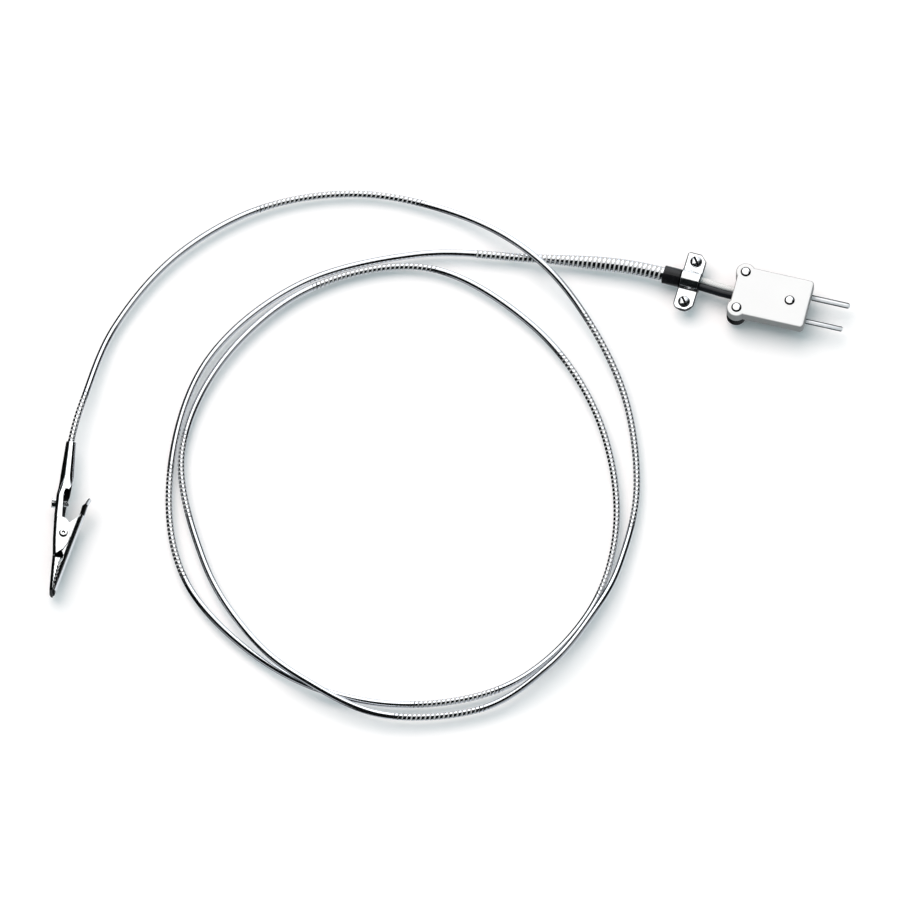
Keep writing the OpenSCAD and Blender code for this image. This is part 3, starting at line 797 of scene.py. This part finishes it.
class PROBE_OT_wires(bpy.types.Operator):
    """The two insulated wires between the clamp and the plug"""
    bl_idname = "probe.wires"
    bl_label = "Wires"

    def execute(self, context):
        sizes = context.scene.probe_lead
        mesh = tube("pale wire", wire_line(WIRE_B), sizes.pale / MM / 2, WIRE_SIDES)
        braid = braided("glass braid", (0.88, 0.88, 0.86), 0.9, 4.0)
        piece("pale_wire", mesh, braid, stands_for=("light_wire",))
        mesh = tube("dark wire", wire_line(-WIRE_B), sizes.dark / MM / 2, WIRE_SIDES)
        cover = rubbery("wire cover", (0.008, 0.009, 0.011), 0.18)
        piece("dark_cover_wire", mesh, cover, stands_for=("dark_wire",))
        return {"FINISHED"}


# ---------- clip ----------
# Places along the clip, in mm from the hinge.
TEETH = 6
BITE_FROM = -9.3     # the teeth
BITE_TO = -17.0
TIP = -18.4          # the nose's straight end
SHADED_TIP = -18.2     # where the nose's end is painted dark, as painted shade
V_FROM = 5.3         # the V between the two strips
BARREL_FROM = 20.0   # the crimp barrel
ROW_STEP = 0.3       # greatest distance between two rows

# Heights of the fixed jaw's two cheeks, and how far its teeth stand out, in mm.
LOW = 0.5
HIGH = 7.1
TOOTH_DEPTH = 0.4

# Thickness of the plated sheets, in mm.
FIXED_SHEET = 0.55
MOVING_SHEET = 0.48
SADDLE_SHEET = 0.52

# The spring: its wire, the radius of its turns, the rise from one turn to the next, in mm, and the points
# round the wire.
SPRING_WIRE = 0.7
SPRING_R = 1.85
SPRING_PITCH = 0.73
SPRING_SIDES = 14


def back_x(y):
    """Outer line of the fixed jaw's spine, beside the hinge."""
    return np.interp(y, [-18.95, TIP, -11.5, -6.7, -2, 6.3, 12.2, 14.4, 18.7, 20],
                     [-2.1, -2.42, -2.55, -2.6, -3.03, -3.4, -3.4, -3.38, -3.3, -2.95])


def front_x(y):
    """Outer line of the moving jaw's spine."""
    return 5.81 - (7.92 - y) * 0.243


def bite_x(y):
    """Line of the fixed jaw's tooth tips."""
    return -0.2 + (y + 8.9) * 0.137


def tooth_wave(y):
    """Triangle wave from 0 at a tip to 1 at a notch, one wave a tooth."""
    phase = (BITE_FROM - y) / ((BITE_FROM - BITE_TO) / TEETH) % 1.0
    return np.where(bitten(y), 1 - np.abs(2 * phase - 1), 0.0)


def bitten(y):
    """Whether a place lies within the row of teeth."""
    return (y < BITE_FROM) & (y > BITE_TO)


def folded(along, edge_x, spine_x, half, bend):
    """Half of a folded strip's section: up the spine, round a bend and along the cheek to its edge.

    along goes from 0 at the middle of the spine to 1 at the cheek's edge. Returns how far each point lies
    from the spine's outer line and from the middle plane.
    """
    width = np.abs(edge_x - spine_x)
    turn = np.arccos(np.clip(1 - width / bend, -1, 1))
    spine = half - bend
    s = along * np.where(width > bend, spine + bend * np.pi / 2 + (width - bend), spine + bend * turn)
    phi = np.clip((s - spine) / bend, 0, np.pi / 2)
    flat = np.clip(s - spine - bend * np.pi / 2, 0, None)
    return bend * (1 - np.cos(phi)) + flat, np.minimum(s, spine) + bend * np.sin(phi)


def jaw_rows(first, stops):
    """Places along a jaw's strip: even steps between its end, its nose, each tooth's tips and notches, and
    the other stops, which all stay."""
    half_tooth = (BITE_FROM - BITE_TO) / TEETH / 2
    stops = [first, TIP, BITE_TO, *(BITE_TO + half_tooth * k for k in range(1, 2 * TEETH + 1)), *stops]
    parts = [np.linspace(a, b, max(2, int((b - a) / ROW_STEP) + 1))[:-1] for a, b in zip(stops, stops[1:])]
    return np.concatenate(parts + [[stops[-1]]])[:, None]


def jaw(names, body, strip, marks, sheet, colour, stands_for):
    """Mesh, finish and thickness of one jaw, from the places of its strip and the value "gap" of each. names
    are those of the piece, its mesh and its plate."""
    name, mesh_name, plate_name = names
    mesh = marked(surface(mesh_name, by_clip(grid(*strip)), round_closed=False, ends=1), marks)
    plate = plated(plate_name, colour, 0.1, (1.0, 0.15, 1.0))
    obj = piece(name, mesh, plate, stands_for=stands_for, body=body, sharp=50)
    thickened(obj, sheet)


class PROBE_OT_fixed_jaw(bpy.types.Operator):
    """Fixed jaw: one strip folded to a channel, drawn in to a neck and rolled to the crimp barrel"""
    bl_idname = "probe.fixed_jaw"
    bl_label = "Fixed jaw"

    def execute(self, context):
        y = jaw_rows(-18.95, [-8.25, -8.2, -6.8, -6.75, -5.1, -3.0, -1.1, 3.9, V_FROM, 12.2, 14.8, 14.95,
                              16.5, 18.5, BARREL_FROM, 31.3])
        t = np.linspace(1, -1, 81)[None, :]
        upper = self.edge(y, [V_FROM, 9.2, 14.8, 14.95, 16.5, 18.5], [-0.9, -1.1, -1.3, 0.1, 1.0, 1.6])
        lower = self.edge(y, [V_FROM, 9.2, 12.9, 14.5], [-0.3, -0.4, -0.1, 0.4])
        spine = back_x(y)
        out, rise = folded(np.abs(t), np.where(t > 0, upper, lower), spine, (HIGH - LOW) / 2, 1.25)
        barrel_r = np.interp(y, [BARREL_FROM, 31.3], [2.15, 1.55])
        turn = np.radians(180 - np.where(t > 0, 145, 209) * t)
        w = eased(np.clip((y - 12.6) / (BARREL_FROM - 12.6), 0, 1))
        x = (1 - w) * (spine + out) + w * (-0.8 + barrel_r * np.cos(turn))
        z = CLIP_Z + (1 - w) * rise * np.sign(t) + w * barrel_r * np.sin(turn)
        # painted shade: the crease's line, the cheeks' cut edges and the nose's end are marked to be painted
        # near-black; the barrel's seam is a dark joint line
        crease = np.exp(-((x - np.interp(y, [12.8, 16.95], [-2.63, -1.84])) / 0.2) ** 2)
        crease = crease * np.clip(1 - ((y - 15.0) / 2.4) ** 2, 0, 1) * (t > 0)
        seam_and_edge_shade = (np.abs(t) > 0.99) * ((y > BARREL_FROM) * 0.8 + ((y > -6.8) & (y < 5.2)))
        marks = np.maximum(np.maximum(np.minimum(crease * 1.9, 1.0), seam_and_edge_shade), y < SHADED_TIP)
        jaw(("fixed_jaw_sheet", "fixed jaw", "clip plate"), PROBE, (x, y, z - 0.12 * crease), marks,
            FIXED_SHEET, context.scene.probe_colours.plate, ("fixed_jaw",))
        return {"FINISHED"}

    def edge(self, y, neck_y, neck_x):
        """The cheek's free edge: the nose with its teeth, the gap, the rounded cheek, the V and the neck."""
        nose = bite_x(y) - TOOTH_DEPTH * tooth_wave(y)
        tip = np.interp(y, [-18.95, TIP, BITE_TO], [-1.5, -1.5, bite_x(BITE_TO)])
        cheek = np.interp(y, [-6.75, -5.1, -3.0, -1.1, 3.9, V_FROM], [-1.5, 0.5, 1.7, 2.15, 1.3, 0.0])
        neck = np.interp(y, neck_y, neck_x)
        return np.select([y < BITE_TO, y < -8.2, y < -6.76, y < V_FROM],
                         [tip, nose, back_x(y) + 0.45, cheek], neck)


class PROBE_OT_moving_jaw(bpy.types.Operator):
    """Moving jaw: a narrower channel between the fixed cheeks, with its thumb lever"""
    bl_idname = "probe.moving_jaw"
    bl_label = "Moving jaw"

    def execute(self, context):
        y = jaw_rows(-19.0, [-8.3, -7.2, -6.0, -4.6, -3.0, -1.0, 0.8, 2.6, 3.9, 6.6, 7.0, 7.9, 10.0, 11.0,
                             12.8])
        t = np.linspace(1, -1, 49)[None, :]
        spine = np.where(y > 7.9, np.interp(y, [7.9, 9.5, 11.0, 12.2, 12.8], [5.80, 6.12, 6.42, 6.8, 7.15]),
                         front_x(y))
        out, rise = folded(np.abs(t), self.edge(y, spine), spine, 2.6, 2.3)
        strip = (spine - out, y, CLIP_Z + rise * np.sign(t))
        # painted shade: the lever's hollow and the nose's end are marked to be painted near-black
        hollow = (y > 7.2) & (y < 10.7) & (np.abs(t) > 0.3)
        marks = (hollow | (y < SHADED_TIP))[:, ::-1]
        jaw(("moving_jaw_sheet", "moving jaw", "lever plate"), LEVER, [v[:, ::-1] for v in strip], marks,
            MOVING_SHEET, context.scene.probe_colours.plate, ("moving_jaw",))
        return {"FINISHED"}

    def edge(self, y, spine):
        """The cheek's free edge: teeth, the round of the hinge, the slope under the V and the bare lever."""
        nose = bite_x(y) + 0.3 - TOOTH_DEPTH * (1 - tooth_wave(y)) * bitten(y)
        tip = np.interp(y, [-19.0, TIP, BITE_TO], [-1.28, -1.28, bite_x(BITE_TO) + 0.3])
        hinge = np.interp(y, [-9.3, -8.3, -7.2, -6.0, -4.6, -3.0, -1.0, 0.8, 2.6, 3.9, 6.5, 7.0],
                          [0.05, 0.55, 0.75, 0.3, -0.9, -1.2, -1.75, -1.75, -1.0, 1.35, 4.35, 4.45])
        lever = spine - np.interp(y, [7.0, 10.0, 11.0, 12.8], [1.14, 1.3, 0.6, 0.3])
        return np.select([y > 7.0, y < BITE_TO, y <= BITE_FROM], [lever, tip, nose], hinge)


class PROBE_OT_clip_fittings(bpy.types.Operator):
    """Hinge rivet, spring and terminal screw"""
    bl_idname = "probe.clip_fittings"
    bl_label = "Clip fittings"

    def execute(self, context):
        bright = plated("rivet plate", context.scene.probe_colours.plate, 0.12)
        head = [(7.1, 1.35), (7.3, 1.33), (7.48, 1.15), (7.58, 0.85), (7.6, 0.62), (7.5, 0.4), (7.4, 0.2),
                (7.38, 0.02)]
        tail = [(7.6 - a, r) for a, r in reversed(head)]
        profile = np.vstack([rounded(tail, 0.08, 3), [(0.55, 0.8), (7.05, 0.8)], rounded(head, 0.08, 3)])
        mesh = lathe("hinge rivet", profile, upright(by_clip))
        # painted shade: a dark ring round the head's rim, strongest to one side
        ring = (profile[:, 0] > 7.1) & (profile[:, 1] > 1.1)
        marked(mesh, ring[:, None] * np.clip(0.75 + 0.6 * np.cos(around(48) - 0.9), 0, 1))
        piece("hinge_rivet", mesh, bright, stands_for=("pivot_rivet",))
        self.spring()
        self.screw(bright)
        return {"FINISHED"}

    def spring(self):
        """Torsion spring: a helix round the hinge, whose two ends run up along the two spines. The lever's
        end is a piece of its own, so that it turns with the lever."""
        rise = SPRING_PITCH / 360
        foot = CLIP_Z - 2.22 * SPRING_PITCH
        top = foot + rise * (1773 - 183)
        steel = drawn("spring wire", (0.46, 0.47, 0.49), 0.28, (0.2, 0.2, 1.0))

        def helix(start, end):
            """Points every 9 degrees from one turn angle to another: radius times cos and sin, and a rise."""
            a = np.arange(start, end, 9.0)
            r = np.radians(a)
            return grid(SPRING_R * np.cos(r), SPRING_R * np.sin(r), foot + rise * (a - 183))

        coil = np.vstack([[[-2.42, 6.2, foot], [-2.25, 4.2, foot], [-2.05, 2.2, foot], [-1.92, 0.9, foot]],
                          helix(183, 1760)])
        mesh = tube("spring coil", by_clip(coil), SPRING_WIRE / 2, SPRING_SIDES)
        piece("spring_coil", mesh, steel, stands_for=("jaw_spring",))
        leg = np.vstack([helix(1735, 1778), [[2.4, 1.2, top], [3.3, 3.5, top], [4.22, 5.9, top]]])
        mesh = tube("spring leg", by_clip(leg), SPRING_WIRE / 2 + 0.01, SPRING_SIDES)
        piece("spring_leg", mesh, steel, body=LEVER)

    def screw(self, bright):
        """Slotted cheese-head screw across the neck, with a cut thread on its shank."""
        rows = np.linspace(0, 4.0, 97)[:, None]
        turn = around(32)
        thread = 0.9 - 0.14 * np.abs(((rows / 0.4 + turn / (2 * np.pi)) % 1.0) * 2 - 1) - 0.1 * (rows > 3.8)
        shank = by_clip(grid(SCREW_X + rows, SCREW_Y - thread * np.cos(turn), CLIP_Z + thread * np.sin(turn)))
        head = slotted_head("head", 1.52, 1.2, 0.5, 0.6, lambda p: by_clip(
            grid(SCREW_X - p[..., 2], SCREW_Y + p[..., 1], CLIP_Z + p[..., 0])))
        mesh = joined("neck screw", [surface("shank", shank, ends=2), head])
        piece("neck_screw", mesh, bright, stands_for=("terminal_screw",), sharp=30)


def slotted_head(name, radius, height, slot_width, slot_depth, place, turn=0.0, dome=0.0):
    """Screw head with a rounded edge and a straight slot: polar rings from the rim to the middle, lowered
    where a point lies within half the slot's width of its line."""
    edge = 0.15
    round_off = np.linspace(0, np.pi / 2, 6)
    ring = np.concatenate([[radius, radius], radius - edge * (1 - np.cos(round_off)),
                           np.linspace(radius - edge, 0.02, 40)[1:]])
    rise = np.concatenate([[0, height - edge], height - edge + edge * np.sin(round_off), np.full(39, height)])
    row = np.arange(len(ring))
    rise = rise + dome * (1 - (ring / radius) ** 2) * (row > 1)
    a = ring[:, None] * np.cos(around(96))
    b = -ring[:, None] * np.sin(around(96))
    cut = np.clip((slot_width / 2 + 0.03 - np.abs(-a * math.sin(turn) + b * math.cos(turn))) / 0.06, 0, 1)
    z = np.maximum(rise[:, None] - slot_depth * cut, np.where(row == 0, 0.0, 0.05)[:, None])
    # painted shade: the slot is marked to be painted near-black
    return marked(surface(name, place(grid(a, b, z)), ends=2), cut)


# ---------- clamp ----------
class PROBE_OT_clamp(bpy.types.Operator):
    """Two saddles and their screws"""
    bl_idname = "probe.clamp"
    bl_label = "Clamp"

    def execute(self, context):
        colour = context.scene.probe_colours.plate
        plate = plated("saddle plate", colour, 0.12)
        self.saddle("upper_saddle", 1, "saddle_upper", plate)
        self.saddle("lower_saddle", -1, "saddle_lower", plate)
        top = CLAMP_Z + EAR_Z
        parts = []
        for side in (-1, 1):
            b = side * SCREW_B - EAR_SHIFT
            pan = slotted_head("pan", 1.85, 0.3, 0.62, 0.55, lifted(by_clamp, b, top), math.radians(-52), 0.6)
            shank = lathe("shank", [(0.4, 0.7), (0.62, 0.98), (top, 0.98)], upright(by_clamp, 0.0, b), 32)
            parts += [pan, shank]
        mesh = joined("pan screws", parts)
        piece("pan_screws", mesh, plated("screw plate", colour, 0.12),
              stands_for=("clamp_screws",), sharp=30)
        return {"FINISHED"}

    def saddle(self, name, way, node, material):
        """Strip across the lead: a flat ear, a small round, the arch, a small round and the other ear, each
        point then spread along the lead as far as the ear's outline goes."""
        fillet, outer = 0.7, 3.1
        centre_b = math.sqrt((outer + fillet) ** 2 - (EAR_Z + fillet) ** 2)
        lift = math.atan2(EAR_Z + fillet, centre_b)
        arch = np.linspace(np.pi / 2, lift, 26)
        rounds = np.linspace(np.pi + lift, 1.5 * np.pi, 10)[1:]
        b, h = [], []
        for side in (-1, 1):
            end = SCREW_B + EAR_R - side * EAR_SHIFT
            flat = centre_b + (end - centre_b) * np.sin(np.linspace(0, np.pi / 2, 40))[1:]
            b.append(side * np.concatenate([outer * np.cos(arch), centre_b + fillet * np.cos(rounds), flat]))
            h.append(np.concatenate([outer * np.sin(arch), EAR_Z + fillet + fillet * np.sin(rounds),
                                     np.full(len(flat), EAR_Z)]))
        b, h = (np.concatenate([v[0][::-1], v[1][1:]])[:, None] for v in (b, h))
        high, low = self.outline(b + EAR_SHIFT, way)
        s = np.concatenate([[0, 0.035, 0.07], np.linspace(0.14, 0.86, 11), [0.93, 0.965, 1]])
        a = low + (high - low) * s
        to_rim = np.minimum(np.minimum(a - low, high - a), SCREW_B + EAR_R - np.abs(b + EAR_SHIFT))
        # painted shade: a dark line along the strip's outline
        rim = np.clip(1 - (to_rim - 0.2) / 0.15, 0, 1)
        points = by_clamp(grid(a, b, CLAMP_Z + way * h))
        if way > 0:
            points, rim = points[:, ::-1], rim[:, ::-1]
        mesh = marked(surface(name, points, round_closed=False, uv=(np.linspace(0, 1, len(b)), s)), rim)
        obj = piece(name, mesh, material, stands_for=(node,), sharp=50)
        thickened(obj, SADDLE_SHEET)
        bevelled(obj, 0.2, 60)

    def outline(self, b, way):
        """How far the strip reaches along the lead, each way, at a distance across it from the middle of the
        two screws. The upper strip has two corners cut straight, one small and one round; the lower one's
        ears are round."""
        half = 3.05
        past_screw = np.abs(b) - SCREW_B
        past_end = past_screw - EAR_R
        if way > 0:
            into = np.clip(past_end + 2.0, 0, 2.0)
            low = np.where(b > 0, half - (past_end + 0.6), half - 2.0 + np.sqrt(4.0 - into ** 2))
            return np.minimum(half, half - (past_end + 2.0)), -np.minimum(half, low)
        past = np.clip(past_screw, 0, EAR_R)
        round_end = np.sqrt((EAR_R + 0.04) ** 2 - past ** 2)
        shape = np.where(past_screw > 0, round_end * (1 + 0.12 * np.exp(-past / 0.8)), half)
        return shape, -shape


# ---------- plug ----------
def plug_outline(inset, z, side, front, corner):
    """Closed plan of the plug at a height, drawn in by an inset: two lobes as arcs, straight sides, a
    straight front with rounded corners and a straight back between the lobes. The arcs end where they meet
    the straight lines."""
    r = LOBE_R - inset
    s = side - inset
    f = front - inset
    k = PLUG_BACK + inset
    to_back = math.atan2(math.sqrt(r * r - k * k), k)
    to_side = math.asin(max(-1.0, min(1.0, (s - LOBE_B) / r)))
    arc = np.linspace(to_side, 2 * np.pi - to_back, 41)
    q = max(corner - inset, 0.02)
    turn = np.linspace(0, np.pi / 2, 9)
    upper = np.concatenate([grid(f - q + q * np.cos(turn), s - q + q * np.sin(turn), z),
                            grid(r * np.cos(arc), LOBE_B + r * np.sin(arc), z)])
    return np.concatenate([upper, upper[::-1] * np.array([1, -1, 1])])


def plug_half(name, z0, z1, side, front, corner, round_top, round_bottom):
    """One half of the plug's shell: its plan carried up with rounded edges, and closed by flat faces."""
    turn = np.linspace(0, np.pi / 2, 7)
    low = [(round_bottom * (1 - math.sin(a)), z0 + round_bottom * (1 - math.cos(a))) for a in turn]
    high = [(round_top * (1 - math.cos(a)), z1 - round_top * (1 - math.sin(a))) for a in turn]
    rings = [(round_bottom + 0.15, z0), *low, *high, (round_top + 0.15, z1)]
    # 1 on the side walls, falling to 0 over the top's round: where the side walls' painted shade goes
    walls = [1.0] * (1 + len(low)) + np.cos(turn).tolist() + [0.0]
    points = by_plug([plug_outline(inset, z, side, front, corner) for inset, z in rings])[:, ::-1]
    return marked(surface(name, points, ends=2), np.repeat(walls, points.shape[1]))


class PROBE_OT_plug(bpy.types.Operator):
    """White cover, black base and the three rivets of the plug"""
    bl_idname = "probe.plug"
    bl_label = "Plug"

    def execute(self, context):
        colours = context.scene.probe_colours
        cover = plug_half("cover", SPLIT_Z + 0.03, COVER_TOP, 7.95, PLUG_FRONT, 1.2, 0.45, 0.12)
        piece("cover", cover, moulded("cover white", colours.white, 0.38),
              stands_for=("plug_cover",), sharp=30)
        base = plug_half("base", 0.5, SPLIT_Z, 6.45, PLUG_FRONT - 1.5, 1.0, 0.05, 0.4)
        piece("base", base, moulded("base black", colours.black, 0.3, 0.06),
              stands_for=("plug_base",), sharp=30)
        bright = plated("plug rivets", colours.plate, 0.12)
        for name, node, places in (("lobe_rivets", "rear_rivets", [(0, -LOBE_B), (0, LOBE_B)]),
                                   ("nose_rivet", "front_rivet", [(NOSE_RIVET, 0)])):
            mesh = joined(name, [self.rivet(*place) for place in places])
            piece(name, mesh, bright, stands_for=(node,))
        return {"FINISHED"}

    def rivet(self, a, b):
        """Rivet with a domed, dimpled head above and a rolled tail below."""
        dome = [(7.84 + 0.16 * (1 - (r / 1.14) ** 2), r) for r in np.linspace(1.14, 0.3, 12)]
        tail = rounded([(0.02, 0.3), (0.0, 0.5), (0.0, 1.2), (0.12, 1.3), (0.5, 1.3), (0.5, 0.85)], 0.1, 4)
        rim = [(COVER_TOP, 0.85), (COVER_TOP, 1.56), (7.6, 1.54), (7.72, 1.42), (7.79, 1.24), (7.82, 1.16)]
        profile = np.vstack([[(0.25, 0.02)], tail, rim, dome, [(7.92, 0.28), (7.9, 0.02)]])
        # painted shade: a grey ring at the head's rim
        ring = 0.9 * ((profile[:, 0] > 7.4) & (profile[:, 1] > 1.15))
        return marked(lathe("rivet", profile, upright(by_plug, a, b)), np.repeat(ring, 48))


class PROBE_OT_solids(bpy.types.Operator):
    """Finishes of the pieces whose solids are kept: pins, nuts, bush and what lies inside"""
    bl_idname = "probe.solids"
    bl_label = "Kept solids"

    def execute(self, context):
        colours = context.scene.probe_colours
        copper = drawn("bare copper", (0.80, 0.42, 0.26), 0.3, (0.3, 1.0, 1.0))
        finishes = {
            "thick_pin": (self.contact("thick pin metal", PIN_B, THICK_R), 0.06),
            "thin_pin": (self.contact("thin pin metal", -PIN_B, THIN_R), 0.06),
            "clamp_nuts": (plated("nut plate", colours.plate, 0.2), 0.12),
            "clamp_bush": (rubbery("bush black", colours.black, 0.5), 0.08),
            "terminal_screws": (drawn("screw brass", (0.78, 0.60, 0.30), 0.25, (1.0, 1.0, 0.3)), 0.05),
            "light_conductor": (copper, 0),
            "dark_conductor": (copper, 0),
            "sensor_wires": (drawn("sensor wire", (0.62, 0.58, 0.54), 0.35, (1.0, 0.3, 1.0)), 0),
            "junction_bead": (plated("sensor bead", (0.55, 0.53, 0.52), 0.35), 0),
        }
        for node, (material, roll) in finishes.items():
            obj = frame["nodes"][node]
            for place in obj.material_slots:
                place.material = material
            if roll:
                bevelled(obj, roll)
        return {"FINISHED"}

    def contact(self, name, b, radius):
        """Satin pin with a line of painted shade along each side: it is dark where a point's distance from
        the plane through the pin's axis, which leans forward by 24 degrees, comes near the radius."""
        f = Finish(name, (0.88, 0.90, 0.92), Metallic=0.15)
        lean = math.radians(24)
        level, up = math.cos(lean), math.sin(lean)
        left = np.array([-PLUG_AXIS[1] * level, PLUG_AXIS[0] * level, up])
        middle = float(by_plug([0.0, b, SPLIT_Z]) @ left) * MM
        place = f.node("ShaderNodeSeparateXYZ", {0: f.place["Object"]}).outputs
        parts = [f.math("MULTIPLY", place[k], float(left[k])) for k in range(3)]
        off = f.math("ABSOLUTE", f.math("SUBTRACT", f.math("ADD", *parts), middle))
        # painted shade: the dark lines along the pin's two sides
        line = f.spread(off, 1.0, 0.0, radius * MM * 0.5, radius * MM * 0.68)
        fine = f.noise(900.0)
        f.bump(fine, 0.000002)
        line = f.math("MULTIPLY", line, f.spread(fine, 0.93, 1.0))
        return f.shade(Roughness=f.spread(fine, 0.28, 0.36),
                       Base_Color=f.mix(line, (0.03, 0.035, 0.04), (0.90, 0.92, 0.94)))


class PROBE_OT_declare(bpy.types.Operator):
    bl_idname = "probe.declare"
    bl_label = "Declare the lead"

    def execute(self, context):
        line = hose_line() * MM
        return {"FINISHED"}


class PROBE_PT_panel(bpy.types.Panel):
    """Buttons for every group of pieces"""
    bl_idname = "PROBE_PT_panel"
    bl_label = "Probe"
    bl_space_type = "VIEW_3D"
    bl_region_type = "UI"
    bl_category = "Probe"

    def draw(self, context):
        for group in ("probe_stage", "probe_lead", "probe_colours"):
            values = getattr(context.scene, group)
            for key in type(values).__annotations__:
                self.layout.prop(values, key)
        for operator in OPERATORS:
            self.layout.operator(operator.bl_idname)


GROUPS = {"probe_stage": StageSizes, "probe_lead": LeadSizes, "probe_colours": FinishColours}
OPERATORS = [PROBE_OT_stage, PROBE_OT_hose, PROBE_OT_wires, PROBE_OT_fixed_jaw, PROBE_OT_moving_jaw,
             PROBE_OT_clip_fittings, PROBE_OT_clamp, PROBE_OT_plug, PROBE_OT_solids, PROBE_OT_declare]


def register():
    for cls in [*GROUPS.values(), *OPERATORS, PROBE_PT_panel]:
        bpy.utils.register_class(cls)
    for name, group in GROUPS.items():
        setattr(bpy.types.Scene, name, bpy.props.PointerProperty(type=group))


def unregister():
    for name in GROUPS:
        delattr(bpy.types.Scene, name)
    for cls in [PROBE_PT_panel, *reversed(OPERATORS), *reversed(GROUPS.values())]:
        bpy.utils.unregister_class(cls)


def main():
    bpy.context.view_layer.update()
    register()
    for operator in OPERATORS:
        group, name = operator.bl_idname.split(".")
        getattr(getattr(bpy.ops, group), name)()


if __name__ == "__main__":
    main()
